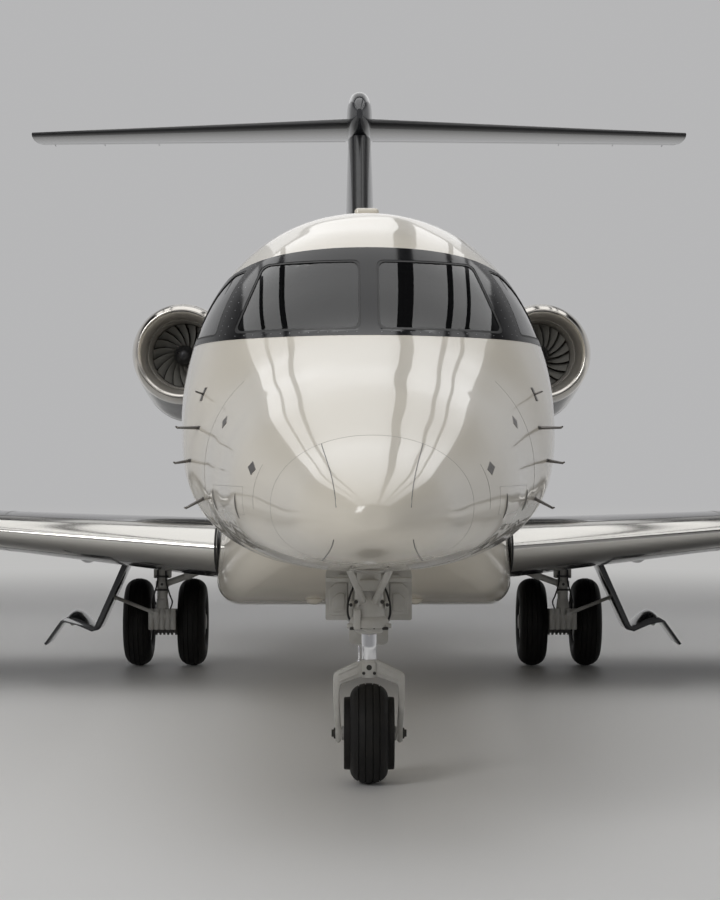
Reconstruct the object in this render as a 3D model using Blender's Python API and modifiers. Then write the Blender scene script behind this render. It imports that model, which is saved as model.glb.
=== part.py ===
"""A light business jet with a T-tail and two rear engines, standing on its landing gear."""

import math

import bmesh
import bpy
from mathutils import Matrix, Vector

# Driving dimensions in metres. Stations run aft from the tip of the nose, +X is the aircraft's left.
LENGTH = 16.85
HALF_SPAN = 8.5
MIDDLE = LENGTH / 2
SEAM = 0.0003
SIDES = (("left", 1), ("right", -1))

# Hinge pins and their bores
PIN_RADIUS = 0.012
PIN_SIDES = 12
PIN_END_GAP = 0.005
DOOR_PIN_RADIUS = 0.017
DOOR_PIN_HALF = 0.30

# Fuselage shell
WALL = 0.07
TAIL_WALL = 0.05
RADOME_END = 0.7
COCKPIT_END = 3.95
CABIN_END = 11.0
TAIL_END = 15.3
TAIL_INSIDE_END = 14.4
RING_POINTS = 28
UPPER_FULLNESS = 2.08
LOWER_FULLNESS = 2.35
FUSELAGE = (
    # station, half_width, top, bottom, widest
    (0.0, 0.03, 1.375, 1.31, 1.34),
    (0.1, 0.17, 1.47, 1.24, 1.345),
    (0.3, 0.29, 1.55, 1.19, 1.36),
    (0.7, 0.42, 1.67, 1.13, 1.38),
    (1.2, 0.60, 1.87, 1.085, 1.43),
    (2.1, 0.79, 2.17, 1.04, 1.52),
    (2.6, 0.92, 2.46, 1.015, 1.64),
    (2.95, 0.955, 2.66, 1.005, 1.73),
    (3.3, 0.975, 2.80, 1.0, 1.80),
    (3.95, 0.98, 2.94, 1.0, 1.90),
    (10.4, 0.98, 2.94, 1.0, 1.90),
    (11.0, 0.93, 2.93, 1.12, 1.93),
    (12.0, 0.80, 2.91, 1.38, 2.05),
    (13.0, 0.60, 2.87, 1.72, 2.25),
    (14.0, 0.38, 2.83, 2.08, 2.43),
    (15.0, 0.15, 2.80, 2.42, 2.60),
    (15.3, 0.07, 2.775, 2.54, 2.655),
)
EXTRA_STATIONS = (0.03, 0.5, 1.65, 2.35, 3.6, 10.7)

# Windows and doors: sizes of the cut openings
POST = 0.0415
PANE_BASE = 2.193
PANE_TOP = 2.583
PANE_BASE_HALF = 0.675
PANE_TOP_HALF = 0.545
SIDE_PANE = ((2.73, 2.19), (3.62, 2.20), (3.60, 2.46), (3.46, 2.56), (3.26, 2.57))
PANE_GAP = 0.0006
GLASS = 0.016
GLASS_DEPTH = 0.004
WINDOW_WIDTH = 0.29
WINDOW_HEIGHT = 0.40
WINDOW_RADIUS = 0.12
WINDOW_CENTRE = 2.05
WINDOW_FIRST = 5.40
WINDOW_PITCH = 0.66
LEFT_WINDOWS = range(5)
RIGHT_WINDOWS = range(-1, 7)
LINING = 0.008
LINING_MARGIN = 0.04
DOOR_GAP = 0.006
DOOR_RADIUS = 0.10
CABIN_DOOR = (4.05, 4.85, 1.20, 2.72)
CARGO_DOOR = (8.55, 9.80, 1.262, 2.55)
CABIN_DOOR_HINGE = (0.694, 1.212)
CARGO_DOOR_HINGE = (0.784, 2.546)
OPENING_INNER = 0.42
OPENING_OUTER = 1.2
TREADS = 4
TREAD = (0.19, 0.46, 0.022)
TREAD_TILT = 125.0
TREAD_FIRST = 1.52
TREAD_PITCH = 0.26

# Cabin fittings
FLOOR_TOP = 1.25
FLOOR_DEPTH = 0.04
FLOOR_RUN = (2.45, 9.95)
DOORWAY_EDGE = 0.56
DOORWAY_MARGIN = 0.03
SEAT_WIDTH = 0.52
SEAT_DEPTH = 0.50
SEAT_HEIGHT = 0.24
BACK_HEIGHT = 0.62
BACK_DEPTH = 0.12

COCKPIT_WIDTH = 1.9

# Belly fairing
FAIRING_FLOOR = 0.58
FAIRING = (
    # station, half_width, bottom
    (5.3, 0.50, 0.98),
    (5.7, 0.80, 0.80),
    (6.2, 0.94, 0.67),
    (6.9, 1.0, FAIRING_FLOOR),
    (9.0, 1.0, FAIRING_FLOOR),
    (9.9, 0.92, 0.66),
    (10.6, 0.78, 0.80),
    (11.2, 0.50, 1.02),
)
SHOULDER = 1.13
SHOULDER_TOP = 1.235

# Wing: the leading-edge piece, the main box and the surfaces behind it
WING_ROOT = 1.0 + SEAM
WING_TIP = 7.9
WING = (
    # span, leading, chord, thickness, height
    (1.0, 6.75, 2.75, 0.156, 0.965),
    (2.5, 6.968, 2.38, 0.121, 1.078),
    (8.0, 7.765, 1.05, 0.110, 1.490),
)
WING_BREAK = 2.5
INCIDENCE = math.tan(math.radians(1.5))
EDGE_PART = 0.09
BOX_END = 0.705
NOSE_PART = 0.712
HINGE_PART = 0.745
FLAP_SPAN = (1.02, 5.33)
AILERON_SPAN = (5.36, 7.87)
TRACKS = (
    # span, drop of the flap's hinge below its round nose
    (2.05, 0.17),
    (4.40, 0.14),
)
TRACK_HALF = 0.05
MOVING_TRACK_HALF = 0.036
HINGE_ARM = (0.016, 0.28, 0.05)
TRACK_START = 0.42
TRACK_DEPTH = 0.09
PAD_SPAN = 3.2
PAD_PART = 0.40
PAD_RADIUS = 0.04
PAD_DROP = 0.03
WINGLET = (
    # span, leading, chord, thickness, height above the wing tip, lean in degrees
    (7.90, 7.75, 1.066, 0.110, 0.0, 4.0),
    (8.12, 7.86, 0.98, 0.105, 0.035, 20.0),
    (8.30, 8.02, 0.84, 0.10, 0.14, 48.0),
    (8.41, 8.19, 0.68, 0.095, 0.31, 70.0),
    (HALF_SPAN - 0.0206, 8.40, 0.46, 0.09, 0.60, 78.0),
)

# Tail
FIN = (
    # height, leading, chord, thickness
    (2.60, 11.56, 3.26, 0.082),
    (4.87, 14.41, 1.56, 0.150),
)
FIN_BOX_END = 0.70
RUDDER_SPAN = (2.99, 4.74)
BULLET = (
    # station, half_width, top, bottom
    (14.30, 0.03, 5.12, 5.02),
    (14.45, 0.10, 5.25, 4.90),
    (14.75, 0.13, 5.36, 4.82),
    (15.40, 0.135, 5.41, 4.80),
    (16.00, 0.12, 5.37, 4.84),
    (16.50, 0.075, 5.25, 4.95),
    (16.85, 0.02, 5.12, 5.06),
)
TAILPLANE_HEIGHT = 5.045
TAILPLANE = (
    # span, leading, chord, thickness, height
    (0.0, 14.70, 1.52, 0.105, TAILPLANE_HEIGHT),
    (3.49, 15.60, 0.85, 0.09, TAILPLANE_HEIGHT),
)
ELEVATOR_SPAN = (0.145, 3.47)

# Engines
ENGINE_X = 1.4775
ENGINE_Z = 2.445
LIP_END = 10.12
DUCT_POINTS = 24
LIP = (
    # radius, station
    (0.415, 10.12),
    (0.405, 10.05),
    (0.385, 9.98),
    (0.360, 9.95),
    (0.330, 9.97),
    (0.300, 10.04),
    (0.285, 10.12),
)
NACELLE = (
    # station, half_width, top, bottom
    (10.12, 0.415, 0.415, 0.415),
    (10.35, 0.42, 0.42, 0.47),
    (10.75, 0.42, 0.42, 0.545),
    (11.40, 0.42, 0.42, 0.56),
    (12.05, 0.39, 0.39, 0.48),
    (12.75, 0.33, 0.33, 0.35),
)
DUCT = (
    # station, radius
    (10.12, 0.285),
    (10.28, 0.27),
    (10.45, 0.27),
    (10.70, 0.34),
    (12.20, 0.34),
    (12.75, 0.30),
)
CORE = (
    # radius, station
    (0.0, 10.47),
    (0.12, 10.47),
    (0.20, 10.60),
    (0.24, 11.20),
    (0.24, 12.10),
    (0.16, 12.50),
    (0.03, 12.98),
    (0.0, 12.98),
)
STRUT = (0.02, 0.28, 0.677)
STRUT_STATION = 11.3
FAN_RADIUS = 0.262
FAN_STATION = 10.37
BLADES = 16
BLADE = (0.007, 0.085)
BLADE_TWIST = 42.0
SPINNER = (
    # radius, station
    (0.0, 10.17),
    (0.035, 10.21),
    (0.075, 10.30),
    (0.085, 10.40),
    (0.085, 10.4695),
    (0.0, 10.4695),
)
PYLON = (10.45, 12.45, 0.065)

# Main landing gear
MAIN_X = 1.50
MAIN_STATION = 8.75
MAIN_RADIUS = 0.333
MAIN_WIDTH = 0.21
MAIN_RIM = 0.165
TWIN_HALF = 0.205
TYRE_STEPS = 24
LEG_STATION = 8.38
PIVOT_HEIGHT = 0.40
LEG_TOP = 0.97
LEG_RADIUS = 0.04
AXLE_RADIUS = 0.045
BRAKE_RADIUS = 0.10
BRAKE_HALF = 0.09
DOOR_PLATE = 0.025
MAIN_DOOR = ((1.70, 0.90), (1.96, 0.319), (2.20, 0.403), (2.33, 0.212))
MAIN_DOOR_RUN = (7.98, 8.40)

# Nose landing gear
NOSE_STATION = 2.35
NOSE_RADIUS = 0.243
NOSE_WIDTH = 0.185
CHINE = 0.122
NOSE_RIM = 0.12
FORK_INNER = 0.135
FORK_DEPTH = 0.09
FORK = (
    # half width, height: down the outside of one arm and up its inside
    (0.055, 0.594),
    (0.172, 0.534),
    (0.180, 0.50),
    (0.172, 0.19),
    (FORK_INNER, 0.19),
    (FORK_INNER, 0.475),
    (0.05, 0.53),
)
CROWN = (0.11, 0.12, 0.52, 0.60)
CYLINDER_BASE = 0.73
CYLINDER_RADIUS = 0.0775
PISTON_RADIUS = 0.0365
NOSE_DOOR_STATION = 2.56
NOSE_DOOR_TOP = (0.427, 0.777, 1.10)
NOSE_DOOR_FOOT = (0.194, 0.656, 0.79)


def start():
    """Empty the file and make the two collections."""
    for old in list(bpy.data.objects):
        bpy.data.objects.remove(old)
    made = []
    for name in ("business_jet", "cutters"):
        collection = bpy.data.collections.new(name)
        bpy.context.scene.collection.children.link(collection)
        made.append(collection)
    return made


def paint(name, colour, roughness, metallic=0.0):
    """A material with one plain finish."""
    material = bpy.data.materials.new(name)
    material.use_nodes = True
    shader = material.node_tree.nodes["Principled BSDF"]
    shader.inputs["Base Color"].default_value = (*colour, 1.0)
    shader.inputs["Roughness"].default_value = roughness
    shader.inputs["Metallic"].default_value = metallic
    return material


PARTS, CUTTERS = start()
WHITE = paint("cream_white", (0.80, 0.76, 0.68), 0.2)
GRAPHITE = paint("graphite", (0.035, 0.036, 0.04), 0.2)
POLISHED = paint("polished_edge", (0.75, 0.75, 0.75), 0.15, 1.0)
GEAR_GREY = paint("gear_grey", (0.62, 0.63, 0.62), 0.4)
CHROME = paint("chrome", (0.85, 0.85, 0.86), 0.08, 1.0)
RUBBER = paint("rubber", (0.02, 0.02, 0.021), 0.75)
CLEAR = paint("glass", (0.05, 0.055, 0.06), 0.05)
DARK = paint("dark_metal", (0.07, 0.07, 0.075), 0.4, 0.8)
STEEL = paint("engine_steel", (0.35, 0.33, 0.31), 0.4, 1.0)
LEATHER = paint("seat_leather", (0.45, 0.38, 0.29), 0.5)
PANEL = paint("cockpit_panel", (0.05, 0.05, 0.052), 0.7)
CARPET = paint("floor_carpet", (0.20, 0.18, 0.16), 0.9)


def place(obj, collection, material=None):
    """Put an object in one collection, with its material and smooth shading."""
    for holder in list(obj.users_collection):
        holder.objects.unlink(obj)
    collection.objects.link(obj)
    if material is None:
        obj.hide_render = True
        obj.display_type = "WIRE"
    else:
        obj.data.materials.append(material)
        obj.data.set_sharp_from_angle(angle=math.radians(35))
    return obj


def solid(name, rings, material=None, loop=False):
    """A loft through rings of equal length, capped at both ends or closed on itself."""
    mesh = bpy.data.meshes.new(name)
    shape = bmesh.new()
    corners = [[shape.verts.new(point) for point in ring] for ring in rings]
    pairs = list(zip(corners, corners[1:]))
    if loop:
        pairs.append((corners[-1], corners[0]))
    else:
        shape.faces.new(corners[0])
        shape.faces.new(corners[-1])
    count = len(corners[0])
    for near, far in pairs:
        if near[0].co.yx > far[0].co.yx:
            near, far = far, near
        for i in range(count):
            k = (i + 1) % count
            shape.faces.new((near[i], near[k], far[k]))
            shape.faces.new((near[i], far[k], far[i]))
    bmesh.ops.recalc_face_normals(shape, faces=shape.faces)
    shape.to_mesh(mesh)
    shape.free()
    mesh.shade_smooth()
    obj = bpy.data.objects.new(name, mesh)
    return place(obj, CUTTERS if material is None else PARTS, material)


def blocks(name, boxes, material=None):
    """Boxes in one object, each given by its size and a matrix or a centre."""
    mesh = bpy.data.meshes.new(name)
    shape = bmesh.new()
    for size, spot in boxes:
        where = spot if isinstance(spot, Matrix) else Matrix.Translation(spot)
        bmesh.ops.create_cube(shape, size=1.0, matrix=where @ Matrix.Diagonal((*size, 1.0)))
    shape.to_mesh(mesh)
    shape.free()
    obj = bpy.data.objects.new(name, mesh)
    return place(obj, CUTTERS if material is None else PARTS, material)


def rods(name, runs, material=None, sides=10):
    """Round bars in one object, each given by its two ends and its radius."""
    mesh = bpy.data.meshes.new(name)
    shape = bmesh.new()
    for first, last, radius in runs:
        first, last = Vector(first), Vector(last)
        run = last - first
        where = Matrix.Translation((first + last) / 2) @ run.to_track_quat("Z", "Y").to_matrix().to_4x4()
        bmesh.ops.create_cone(
            shape, cap_ends=True, segments=sides, radius1=radius, radius2=radius,
            depth=run.length, matrix=where,
        )
    shape.to_mesh(mesh)
    shape.free()
    mesh.shade_smooth()
    obj = bpy.data.objects.new(name, mesh)
    return place(obj, CUTTERS if material is None else PARTS, material)


def turned(name, profile, turn, centre, steps, material, closed=False):
    """A profile of radius and height turned round its own Z, then turned to its axis and moved."""
    mesh = bpy.data.meshes.new(name)
    edges = [(i, i + 1) for i in range(len(profile) - 1)]
    if closed:
        edges.append((len(profile) - 1, 0))
    mesh.from_pydata([(radius, 0.0, height) for radius, height in profile], edges, [])
    obj = bpy.data.objects.new(name, mesh)
    place(obj, PARTS, material)
    screw = obj.modifiers.new("Turn", "SCREW")
    screw.steps = steps
    screw.render_steps = steps
    screw.use_merge_vertices = True
    screw.merge_threshold = 0.0001
    screw.use_smooth_shade = True
    obj.matrix_world = Matrix.Translation(centre) @ turn.to_4x4()
    return obj


def gather(name, shapes):
    """Solids that don't touch, as one object."""
    merged = bmesh.new()
    for shape in shapes:
        merged.from_mesh(shape.data)
    for shape in shapes[1:]:
        bpy.data.objects.remove(shape)
    merged.to_mesh(shapes[0].data)
    merged.free()
    shapes[0].name = name
    return shapes[0]


def combine(obj, *others, operation="UNION"):
    """Join or cut an object with others by Boolean modifiers."""
    for other in others:
        step = obj.modifiers.new(operation.title(), "BOOLEAN")
        step.operation = operation
        step.solver = "EXACT"
        step.object = other
    return obj


def pinned(name, holder, mover, start, end, radius=PIN_RADIUS, sides=PIN_SIDES):
    """A hinge pin on the piece that holds it, and its running bore in the piece that turns."""
    start, end = Vector(start), Vector(end)
    margin = (end - start).normalized() * PIN_END_GAP
    bore = (radius + SEAM) / math.cos(math.pi / sides)
    combine(holder, rods(f"{name}_pin", [(start, end, radius)], sides=sides))
    hole = rods(f"{name}_bore", [(start - margin, end + margin, bore)], sides=sides)
    combine(mover, hole, operation="DIFFERENCE")


def mix(low, high, share):
    """Linear interpolation."""
    return low + (high - low) * share


def row_at(table, spot):
    """The values of a table's row at a place along its first column, by straight lines."""
    for low, high in zip(table, table[1:]):
        if spot <= high[0] or high is table[-1]:
            share = (spot - low[0]) / (high[0] - low[0])
            return [mix(a, b, share) for a, b in zip(low[1:], high[1:])]


def smooth_row(table, spot):
    """The values of a table's row at a station, by a curve that never overshoots."""
    knots = [math.sqrt(row[0]) for row in table]
    place_at = math.sqrt(max(spot, 0.0))
    i = max(k for k in range(len(knots) - 1) if knots[k] <= place_at or k == 0)
    width = knots[i + 1] - knots[i]
    share = (place_at - knots[i]) / width
    values = []
    for column in range(1, len(table[0])):
        ramps = [
            (table[k + 1][column] - table[k][column]) / (knots[k + 1] - knots[k])
            for k in range(len(knots) - 1)
        ]
        slopes = []
        for k in (i, i + 1):
            before = ramps[max(k - 1, 0)]
            after = ramps[min(k, len(ramps) - 1)]
            slopes.append(0.0 if before * after <= 0 else 2 * before * after / (before + after))
        low, high = table[i][column], table[i + 1][column]
        values.append(
            low * (1 + 2 * share) * (1 - share) ** 2
            + high * share**2 * (3 - 2 * share)
            + width * slopes[0] * share * (1 - share) ** 2
            - width * slopes[1] * share**2 * (1 - share)
        )
    return values


def along(station):
    """The Y coordinate of a station."""
    return station - MIDDLE


def oval(station, half_width, top, bottom, widest, centre_x=0.0, points=RING_POINTS,
         upper=2.0, lower=2.0):
    """A ring whose upper and lower halves have their own height and fullness."""
    ring = []
    for i in range(points):
        angle = math.tau * i / points
        side, rise = math.cos(angle), math.sin(angle)
        power = 2 / (upper if rise >= 0 else lower)
        reach = top - widest if rise >= 0 else widest - bottom
        x = half_width * math.copysign(abs(side) ** power, side)
        z = reach * math.copysign(abs(rise) ** power, rise)
        ring.append((centre_x + x, along(station), widest + z))
    return ring


def hull_ring(station, grow=0.0):
    """The fuselage's section at a station, grown outwards or inwards."""
    half_width, top, bottom, widest = smooth_row(FUSELAGE, station)
    return oval(station, half_width + grow, top + grow, bottom - grow, widest,
                upper=UPPER_FULLNESS, lower=LOWER_FULLNESS)


def hull_stations(first, last):
    """The stations of the fuselage's rings from one joint to the next, clear of both."""
    inner = sorted({row[0] for row in FUSELAGE} | set(EXTRA_STATIONS))
    return [first, *[s for s in inner if first + SEAM < s < last - SEAM], last]


def hull_rings(first, last, grow=0.0):
    """The rings of a stretch of the fuselage."""
    return [hull_ring(station, grow) for station in hull_stations(first, last)]


def tube(name, first, last, outer, inner, material=None):
    """A stretch of the fuselage's wall between two depths, open at both ends."""
    rings = hull_rings(first, last, outer) + hull_rings(first, last, inner)[::-1]
    return solid(name, rings, material, loop=True)


def rounded(width, height, radius, centre, steps=3, square_foot=False):
    """The outline of a rectangle with round corners, the lower two of which may be square."""
    outline = []
    for corner, (side, rise) in enumerate(((1, 1), (-1, 1), (-1, -1), (1, -1))):
        if square_foot and rise < 0:
            outline.append((centre[0] + side * width / 2, centre[1] - height / 2))
            continue
        for step in range(steps + 1):
            angle = math.radians(90 * corner + 90 * step / steps)
            u = centre[0] + side * (width / 2 - radius) + radius * math.cos(angle)
            v = centre[1] + rise * (height / 2 - radius) + radius * math.sin(angle)
            outline.append((u, v))
    return outline


def side_prism(name, outlines, sign, inner=OPENING_INNER, outer=OPENING_OUTER):
    """Prisms that run sideways through one wall, from outlines of station and height."""
    shapes = [
        solid(f"{name}_{i}", [[(sign * x, along(s), z) for s, z in outline] for x in (inner, outer)])
        for i, outline in enumerate(outlines)
    ]
    return gather(name, shapes)


def shrink(outline, gap):
    """An outline moved inwards by a gap along each edge's normal."""
    moved = []
    count = len(outline)
    area = sum(
        outline[i][0] * outline[(i + 1) % count][1] - outline[(i + 1) % count][0] * outline[i][1]
        for i in range(count)
    )
    turn = math.copysign(1.0, area)
    for i, point in enumerate(outline):
        before = Vector(point) - Vector(outline[i - 1])
        after = Vector(outline[(i + 1) % count]) - Vector(point)
        normals = [Vector((-edge.y, edge.x)).normalized() * turn for edge in (before, after)]
        middle = (normals[0] + normals[1]).normalized()
        moved.append(Vector(point) + middle * gap / max(middle.dot(normals[0]), 0.3))
    return [(p.x, p.y) for p in moved]


def front_pane(sign, gap):
    """The outline across the nose of one half of the windscreen."""
    outline = [
        (POST, PANE_BASE),
        (PANE_BASE_HALF, PANE_BASE),
        (PANE_TOP_HALF, PANE_TOP),
        (POST, PANE_TOP),
    ]
    return [(sign * x, z) for x, z in shrink(outline, gap)]


def front_prism(name, sign, gap, material=None):
    """A prism along the fuselage through one half of the windscreen."""
    outline = front_pane(sign, gap)
    return solid(name, [[(x, along(s), z) for x, z in outline] for s in (1.95, 3.42)], material)


def fuselage_nose():
    """The radome and the cockpit section with its windows."""
    solid("radome", hull_rings(0.0, RADOME_END - SEAM), WHITE)
    shell = tube("forward_fuselage", RADOME_END, COCKPIT_END - SEAM, 0.0, -WALL, WHITE)
    skin = tube("pane_skin", 1.65, COCKPIT_END, -GLASS_DEPTH, -GLASS_DEPTH - GLASS)
    for side, sign in SIDES:
        combine(
            shell,
            front_prism(f"windscreen_cut_{side}", sign, 0.0),
            side_prism(f"side_window_cut_{side}", [SIDE_PANE], sign),
            operation="DIFFERENCE",
        )
        pane = front_prism(f"windshield_{side}", sign, PANE_GAP, CLEAR)
        combine(pane, skin, operation="INTERSECT")
        outline = shrink(SIDE_PANE, PANE_GAP)
        rings = [
            [(sign * x, along(s), z) for s, z in outline] for x in (OPENING_INNER, OPENING_OUTER)
        ]
        pane = solid(f"side_window_{side}", rings, CLEAR)
        combine(pane, skin, operation="INTERSECT")


def window_outlines(numbers):
    """The outlines of the cabin windows with these numbers."""
    return [
        rounded(WINDOW_WIDTH, WINDOW_HEIGHT, WINDOW_RADIUS,
                (WINDOW_FIRST + WINDOW_PITCH * n, WINDOW_CENTRE), steps=2)
        for n in numbers
    ]


def door_outline(edges, gap):
    """The outline of a door from its edges: a gap all round, and round corners but at a hinged foot."""
    first, last, low, high = edges
    return rounded(last - first - 2 * gap, high - low - 2 * gap, DOOR_RADIUS - gap,
                   ((first + last) / 2, (low + high) / 2), square_foot=edges is CABIN_DOOR)


def fuselage_cabin():
    """The cabin section with its windows cut, its glass, its two doors and the tail cone."""
    shell = tube("centre_fuselage", COCKPIT_END, CABIN_END - SEAM, 0.0, -WALL, WHITE)
    left = window_outlines(LEFT_WINDOWS) + [door_outline(CABIN_DOOR, 0.0), door_outline(CARGO_DOOR, 0.0)]
    combine(
        shell,
        side_prism("cabin_cuts_left", left, 1),
        side_prism("cabin_cuts_right", window_outlines(RIGHT_WINDOWS), -1),
        operation="DIFFERENCE",
    )
    lining = tube("lining_skin", COCKPIT_END, CABIN_END, -WALL - SEAM, -WALL - SEAM - LINING)
    strips = (("left", 1, LEFT_WINDOWS), ("right", -1, RIGHT_WINDOWS))
    for side, sign, numbers in strips:
        first = WINDOW_FIRST + WINDOW_PITCH * numbers[0] - WINDOW_WIDTH / 2 - LINING_MARGIN
        last = WINDOW_FIRST + WINDOW_PITCH * numbers[-1] + WINDOW_WIDTH / 2 + LINING_MARGIN
        size = (0.6, last - first, WINDOW_HEIGHT + 2 * LINING_MARGIN)
        spot = (sign * 0.9, along((first + last) / 2), WINDOW_CENTRE)
        strip = blocks(f"cabin_glass_{side}", [(size, spot)], CLEAR)
        combine(strip, lining, operation="INTERSECT")
    wall = tube("door_wall", COCKPIT_END, CABIN_END, 0.0, -WALL)
    doors = (("cabin_door", CABIN_DOOR, CABIN_DOOR_HINGE), ("cargo_door", CARGO_DOOR, CARGO_DOOR_HINGE))
    for name, edges, (hinge_x, hinge_z) in doors:
        outline = door_outline(edges, DOOR_GAP)
        rings = [[(x, along(s), z) for s, z in outline] for x in (OPENING_INNER, OPENING_OUTER)]
        panel = solid(name, rings, WHITE)
        combine(panel, wall, operation="INTERSECT")
        if name == "cabin_door":
            combine(panel, blocks("door_treads", door_treads()))
        middle = along(sum(edges[:2]) / 2)
        ends = [(hinge_x, middle + side * DOOR_PIN_HALF, hinge_z) for side in (-1, 1)]
        pinned(name, shell, panel, *ends, radius=DOOR_PIN_RADIUS, sides=16)
    outside = hull_rings(CABIN_END, TAIL_END)
    inside = hull_rings(CABIN_END, TAIL_INSIDE_END, -TAIL_WALL)
    solid("tail_cone", outside[::-1] + inside, WHITE)


def door_treads():
    """The steps on the inside of the cabin door, level when it is let down."""
    middle = along((CABIN_DOOR[0] + CABIN_DOOR[1]) / 2)
    boxes = []
    for n in range(TREADS):
        height = TREAD_FIRST + TREAD_PITCH * n
        half_width, top, bottom, widest = smooth_row(FUSELAGE, CABIN_DOOR[0])
        reach = top - widest if height > widest else widest - bottom
        power = UPPER_FULLNESS if height > widest else LOWER_FULLNESS
        skin = half_width * (1 - (abs(height - widest) / reach) ** power) ** (1 / power)
        tilt = Matrix.Rotation(-math.radians(TREAD_TILT), 4, "Y")
        foot = Vector((skin - WALL + 0.012, middle, height))
        centre = foot + tilt @ Vector((TREAD[0] / 2, 0.0, 0.0))
        boxes.append((TREAD, Matrix.Translation(centre) @ tilt))
    return boxes


COCKPIT = (
    # name, size, station, height, material
    ("instrument_panel", (COCKPIT_WIDTH, 0.10, 0.42), 2.62, 1.93, PANEL),
    ("panel_hood", (COCKPIT_WIDTH, 0.36, 0.03), 2.50, 2.125, None),
    ("panel_pedestal", (0.20, 0.50, 0.50), 2.90, 1.501, None),
)


def cabin_fittings():
    """The floor, the seats and the cockpit panel, fitted inside the wall."""
    inside = solid("inside", hull_rings(RADOME_END, CABIN_END, -WALL - SEAM))
    floor = blocks(
        "cabin_floor",
        [((COCKPIT_WIDTH, FLOOR_RUN[1] - FLOOR_RUN[0], FLOOR_DEPTH),
          (0.0, along(sum(FLOOR_RUN) / 2), FLOOR_TOP - FLOOR_DEPTH / 2))],
        CARPET,
    )
    combine(floor, inside, operation="INTERSECT")
    doorway = (CABIN_DOOR[1] - CABIN_DOOR[0] + 2 * DOORWAY_MARGIN, sum(CABIN_DOOR[:2]) / 2)
    reach = 0.4
    spot = (DOORWAY_EDGE + reach / 2, along(doorway[1]), FLOOR_TOP)
    threshold = blocks("threshold", [((reach, doorway[0], 0.2), spot)])
    combine(floor, threshold, operation="DIFFERENCE")
    face, hood, pedestal = [
        blocks(name, [(size, (0.0, along(station), height))], material)
        for name, size, station, height, material in COCKPIT
    ]
    combine(face, hood)
    combine(face, inside, operation="INTERSECT")
    combine(face, pedestal)
    seats("pilot_seats", [(0.38, 3.45), (-0.38, 3.45)], (3.30, 3.60))
    club = [(sign * 0.40, s) for s in (6.0, 7.2, 8.2) for _, sign in SIDES]
    seats("cabin_seats", club, (5.80, 8.45))


def seats(name, spots, rail_run):
    """Seats joined by rails across and along the floor."""
    base = FLOOR_TOP + SEAM
    rail = 0.03
    stations = sorted({station for _, station in spots})
    outer = max(abs(x) for x, _ in spots)
    cross = [((2 * outer, 0.08, rail), (0.0, along(s), base + rail / 2)) for s in stations]
    beams = blocks(name, cross[:1], LEATHER)
    spine = blocks(f"{name}_spine", [((0.10, rail_run[1] - rail_run[0], rail * 1.2),
                                      (0.0, along(sum(rail_run) / 2), base + rail * 0.6))])
    if cross[1:]:
        combine(beams, spine, blocks(f"{name}_cross", cross[1:]))
    half = SEAT_HEIGHT / 2
    cushions = [((SEAT_WIDTH * 0.95, SEAT_DEPTH, SEAT_HEIGHT), (x, along(s), base + 0.02 + half))
                for x, s in spots]
    backs = [((SEAT_WIDTH * 0.9, BACK_DEPTH, BACK_HEIGHT),
              (x, along(s + SEAT_DEPTH / 2 - BACK_DEPTH / 2 + 0.01), base + 0.2 + BACK_HEIGHT / 2))
             for x, s in spots]
    combine(beams, blocks(f"{name}_cushions", cushions), blocks(f"{name}_backs", backs))


def fairing_ring(station, half_width, bottom):
    """The belly fairing's section: flat floor, round corners, upright sides and sloping shoulders."""
    radius = min(0.16, half_width * 0.3)
    side = [(half_width - radius, bottom)]
    for step in range(1, 4):
        angle = math.radians(30 * step)
        side.append((half_width - radius * (1 - math.sin(angle)), bottom + radius * (1 - math.cos(angle))))
    top = max(SHOULDER_TOP, bottom + radius + 0.05)
    side.append((half_width, max(SHOULDER, bottom + radius + 0.02)))
    side.append((half_width * 0.72, top))
    right = [(x, along(station), z) for x, z in side]
    left = [(-x, y, z) for x, y, z in right[::-1]]
    return right + left


def belly():
    """The belly fairing, cut to the fuselage above it."""
    fairing = solid("belly_fairing", [fairing_ring(*row) for row in FAIRING], WHITE)
    outline = solid("fuselage_outline", hull_rings(0.0, TAIL_END, SEAM))
    combine(fairing, outline, operation="DIFFERENCE")
    return outline


def thickness(part):
    """The half thickness of the wing's section at a part of its chord, for a ratio of one."""
    return 5 * (
        0.2969 * math.sqrt(part) - 0.126 * part - 0.3516 * part**2
        + 0.2843 * part**3 - 0.1015 * part**4
    )


def blade_point(table, span, part, side, grow=0.0, upright=False, tilt=INCIDENCE):
    """A point on the upper or lower face of a wing, or on a side of the fin."""
    values = row_at(table, span)
    leading, chord, ratio = values[:3]
    half = side * (thickness(part) * ratio * chord + grow)
    run = along(leading + part * chord)
    if upright:
        return Vector((half, run, span))
    return Vector((span, run, values[3] - tilt * part * chord + half))


def blade_ring(table, span, parts, **how):
    """A closed section from the upper face's front to its back and forward again below."""
    upper = [blade_point(table, span, part, 1, **how) for part in parts]
    lower = [blade_point(table, span, part, -1, **how) for part in parts[::-1]]
    return upper + (lower[:-1] if parts[0] == 0 else lower)


def mirrored(ring, sign):
    """A ring on the left or right side."""
    return [(sign * x, y, z) for x, y, z in ring]


def nose_centre(table, span):
    """The part of the chord about which a moving surface's round nose is struck."""
    return NOSE_PART + thickness(HINGE_PART) * row_at(table, span)[2]


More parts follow.
